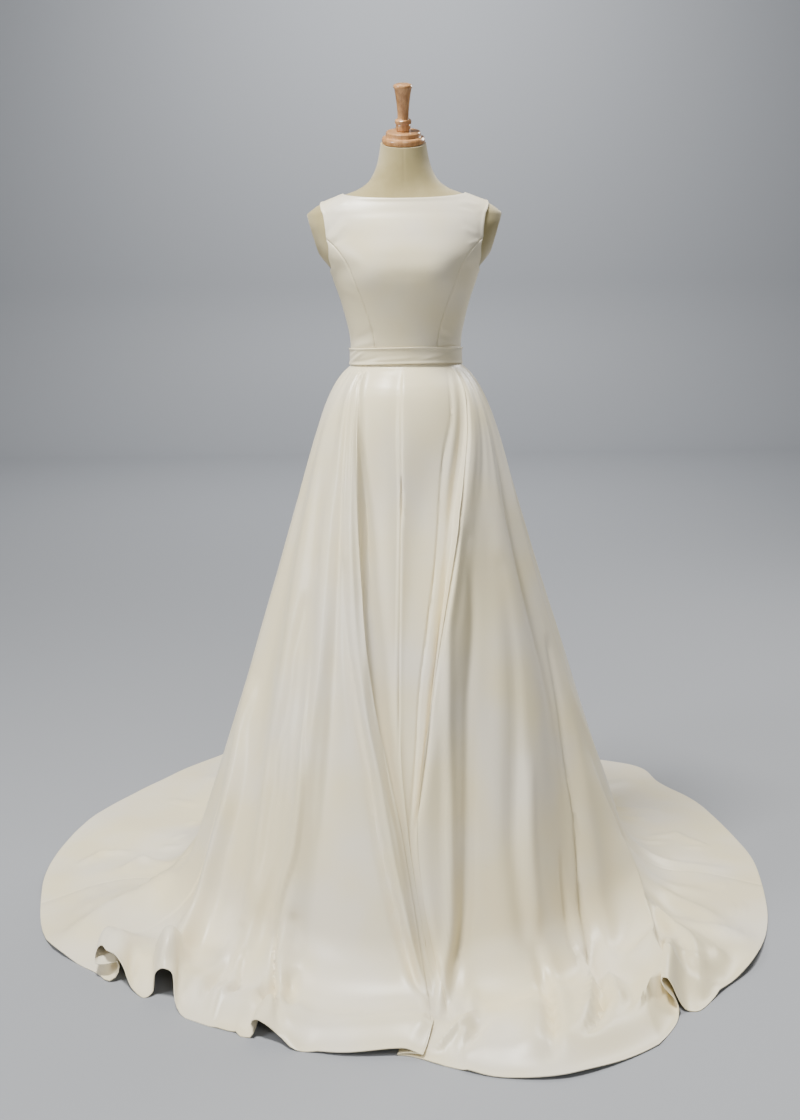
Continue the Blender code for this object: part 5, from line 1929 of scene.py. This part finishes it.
@dataclass
class Skirt:
    """The A-line skirt: a front and two backs with the train, sewn at the sides and behind."""

    cloth: SkirtCloth
    satin: bpy.types.Material
    left_seam: float = -78.0
    right_seam: float = 100.0
    seam_label: float = 0.05
    metres_per_label: float = 0.011
    length: float = 1.34
    focus: tuple[Focus, ...] = table(Focus, (
        (-65.2, 2.6, 9.0), (-59.0, 3.4, 4.0), (-44.0, 3.0, 1.2), (-33.5, 3.0, 1.5),
        (-26.5, 3.0, 4.0), (-3.5, 2.2, 3.0), (0.8, 2.2, 5.0), (10.4, 1.6, 5.0), (17.6, 2.0, 4.0),
        (23.0, 2.2, 5.0), (37.0, 5.0, 1.0), (50.5, 3.0, 1.6), (61.5, 4.0, 2.0), (68.6, 2.4, 7.0),
        (164.6, 4.5, 2.6), (-152.0, 4.5, 2.6),
    ))
    front_columns: int = 318
    back_columns: int = 130
    rows_down: int = 132
    fine_columns: int = 6000
    fine_rows: int = 2000
    belt_weight: float = 2.0
    belt_zone: float = 0.08
    hem_weight: float = 1.9
    hem_zone: tuple[float, float] = (0.76, 0.86)

    def columns(self, start: float, end: float, count: int) -> Grid:
        """Labels of the grid's columns, closer together where the cloth turns sharply.

        Args:
            start: The first seam's label.
            end: The other seam's.
            count: How many columns.

        Returns:
            The labels.
        """
        fine = np.linspace(start, end, self.fine_columns)
        weight = np.ones_like(fine)
        for focus in self.focus:
            weight += focus.share * bump((fine - focus.label) / focus.width)
        return spaced(fine, weight, count)

    def rows(self) -> Grid:
        """Shares of the grid's rows, closer together at the belt and towards the hem.

        Returns:
            The shares.
        """
        fine = np.linspace(0.0, 1.0, self.fine_rows)
        start, end = self.hem_zone
        weight = 1.0 + self.belt_weight * bump(fine / self.belt_zone)
        weight += self.hem_weight * ease((fine - start) / (end - start))
        return spaced(fine, weight, self.rows_down)

    def build_panel(self, name: str, node: str, start: float, end: float,
                    count: int) -> bpy.types.Object:
        """One panel between two seams.

        Args:
            name: The piece's name.
            node: The CAD node that it stands for.
            start: The first seam's label.
            end: The other seam's label.
            count: How many columns its grid has.

        Returns:
            The panel.
        """
        def surface(label: Grid, share: Grid) -> Grid:
            """The panel's outer side, drawn in by half a gap at its seams.

            Args:
                label: Places round the cloth.
                share: Shares of the way from belt to hem.

            Returns:
                The points, one row each.
            """
            points = self.cloth.points(label, share)
            for seam, inward in ((start, 1.0), (end, -1.0)):
                at_seam = np.abs(label - seam) < TINY
                if at_seam.any():
                    near = self.cloth.points(label[at_seam] + self.seam_label * inward,
                                             share[at_seam])
                    points[at_seam] += unit(near - points[at_seam]) * SEAM_GAP / 2
            return points

        bm = sheet_mesh(self.columns(start, end, count), self.rows(), surface,
                        self.metres_per_label, -self.length)
        bmesh.ops.reverse_faces(bm, faces=bm.faces[:])
        panel = add_piece(name, bm, self.satin, sharp=75.0)
        give_thickness(panel, CLOTH)
        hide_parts(node)
        return panel

    def build(self) -> None:
        first, last = self.cloth.first_label, self.cloth.last_label
        left, right = self.left_seam, self.right_seam
        front, back = self.front_columns, self.back_columns
        for name, node, start, end, count, flat, area in (
            ("front_skirt_panel", "skirt_front", left, right, front, (2.5, 1.5), 2.0),
            ("back_skirt_panel_left", "skirt_back_left", first, left, back, (1.5, 1.5), 1.0),
            ("back_skirt_panel_right", "skirt_back_right", right, last, back, (1.5, 1.5), 1.0),
        ):
            panel = self.build_panel(name, node, start, end, count)


# The studio


class Lamp(NamedTuple):
    """A soft square light: where it hangs, what it points at, its side, watts and colour."""

    name: str
    place: tuple[float, float, float]
    aim: tuple[float, float, float]
    size: float
    power: float
    colour: Colour


@dataclass
class Studio:
    """The photograph's camera, soft lights, and a plain pale floor with its backdrop."""

    eye: tuple[float, float, float] = (-0.0104, -2.80, 1.26)
    roll: float = math.radians(0.7)
    lens: float = 43.2
    film: float = 36.0
    shift: float = -285.0 / 1120.0
    floor_size: float = 8.0
    backdrop: float = 6.6
    cove: float = 1.2
    cove_steps: int = 24
    wall: float = 4.0
    sky: Colour = (0.86, 0.88, 0.92)
    sky_strength: float = 0.12
    lamps: tuple[Lamp, ...] = (
        Lamp("overhead_key", (-0.9, -0.9, 4.2), (0, -0.15, 0.6), 0.7, 272.0, (1.0, 0.99, 0.965)),
        Lamp("left_side", (-3.4, -1.9, 2.2), (0, 0, 0.4), 1.0, 88.0, (0.97, 0.98, 1.0)),
        Lamp("front_fill", (1.0, -4.6, 3.0), (0, 0, 0.2), 1.8, 54.0, (0.97, 0.98, 1.0)),
        Lamp("back_rim", (2.0, 1.8, 2.6), (0.3, 0, 0.3), 1.2, 70.0, (1.0, 0.99, 0.97)),
        Lamp("backdrop_wash", (0.0, 4.4, 4.4), (0, 7.6, 1.4), 3.0, 300.0, (0.98, 0.99, 1.0)),
    )

    def add_camera(self) -> None:
        """Places the camera of the photograph."""
        data = bpy.data.cameras.new("studio_camera")
        data.sensor_fit = "VERTICAL"
        data.sensor_height = self.film
        data.lens = self.lens
        data.shift_y = self.shift
        camera = bpy.data.objects.new("studio_camera", data)
        bpy.context.scene.collection.objects.link(camera)
        c, s = math.cos(self.roll), math.sin(self.roll)
        turn = Matrix(((c, s, 0.0), (0.0, 0.0, -1.0), (-s, c, 0.0))).to_4x4()
        camera.matrix_world = Matrix.Translation(self.eye) @ turn
        bpy.context.scene.camera = camera

    def add_lights(self) -> None:
        """Hangs the lamps and lights the sky."""
        for lamp in self.lamps:
            data = bpy.data.lights.new(lamp.name, "AREA")
            data.size = lamp.size
            data.energy = lamp.power
            data.color = lamp.colour
            light = bpy.data.objects.new(lamp.name, data)
            light.location = lamp.place
            way = Vector(lamp.aim) - Vector(lamp.place)
            light.rotation_euler = way.to_track_quat("-Z", "Y").to_euler()
            bpy.context.scene.collection.objects.link(light)
        world = bpy.data.worlds.new("studio_sky")
        world.use_nodes = True
        sky = world.node_tree.nodes["Background"]
        sky.inputs["Color"].default_value = (*self.sky, 1.0)
        sky.inputs["Strength"].default_value = self.sky_strength
        bpy.context.scene.world = world

    def add_floor(self, paint: bpy.types.Material) -> None:
        """Lays the floor, which sweeps up behind the dress as a seamless backdrop.

        Args:
            paint: The floor's finish.
        """
        bm = bmesh.new()
        bmesh.ops.create_grid(bm, x_segments=1, y_segments=1, size=self.floor_size)
        far = max(vert.co.y for vert in bm.verts)
        move = self.backdrop - far
        edge = [e for e in bm.edges if all(vert.co.y > far - TINY for vert in e.verts)]
        bmesh.ops.translate(bm, vec=(0.0, move, 0.0), verts=edge[0].verts[:])
        bent = bmesh.ops.spin(bm, geom=edge + edge[0].verts[:], cent=(0, self.backdrop, self.cove),
                              axis=(1, 0, 0), angle=math.pi / 2, steps=self.cove_steps,
                              use_merge=False, use_duplicate=False)
        rim = [item for item in bent["geom_last"] if isinstance(item, bmesh.types.BMEdge)]
        wall = bmesh.ops.extrude_edge_only(bm, edges=rim)
        top = [item for item in wall["geom"] if isinstance(item, bmesh.types.BMVert)]
        bmesh.ops.translate(bm, vec=(0.0, 0.0, self.wall), verts=top)
        bmesh.ops.recalc_face_normals(bm, faces=bm.faces[:])
        mesh = bpy.data.meshes.new("studio_floor")
        bm.to_mesh(mesh)
        bm.free()
        mesh.shade_smooth()
        mesh.materials.append(paint)
        floor = bpy.data.objects.new("studio_floor", mesh)
        bpy.context.scene.collection.objects.link(floor)


def main() -> None:
    """Builds the dress, its form and the studio, in order."""
    logging.basicConfig(level=logging.INFO, format="%(name)s %(message)s")
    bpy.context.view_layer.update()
    satin = SatinFinish().build()
    wood = WoodFinish().build()
    studio = Studio()
    studio.add_camera()
    studio.add_lights()
    studio.add_floor(FloorFinish().build())
    shape = FormShape()
    DressForm(shape).build_torso(CoverFinish().build())
    TurnedWork().build(wood)
    Stand().dress(wood, StandFinish().build())
    Bodice(shape, satin).build()
    Belt(shape, satin).build()
    Skirt(SkirtCloth(SkirtSection(shape)), satin).build()


if __name__ == "__main__":
    main()
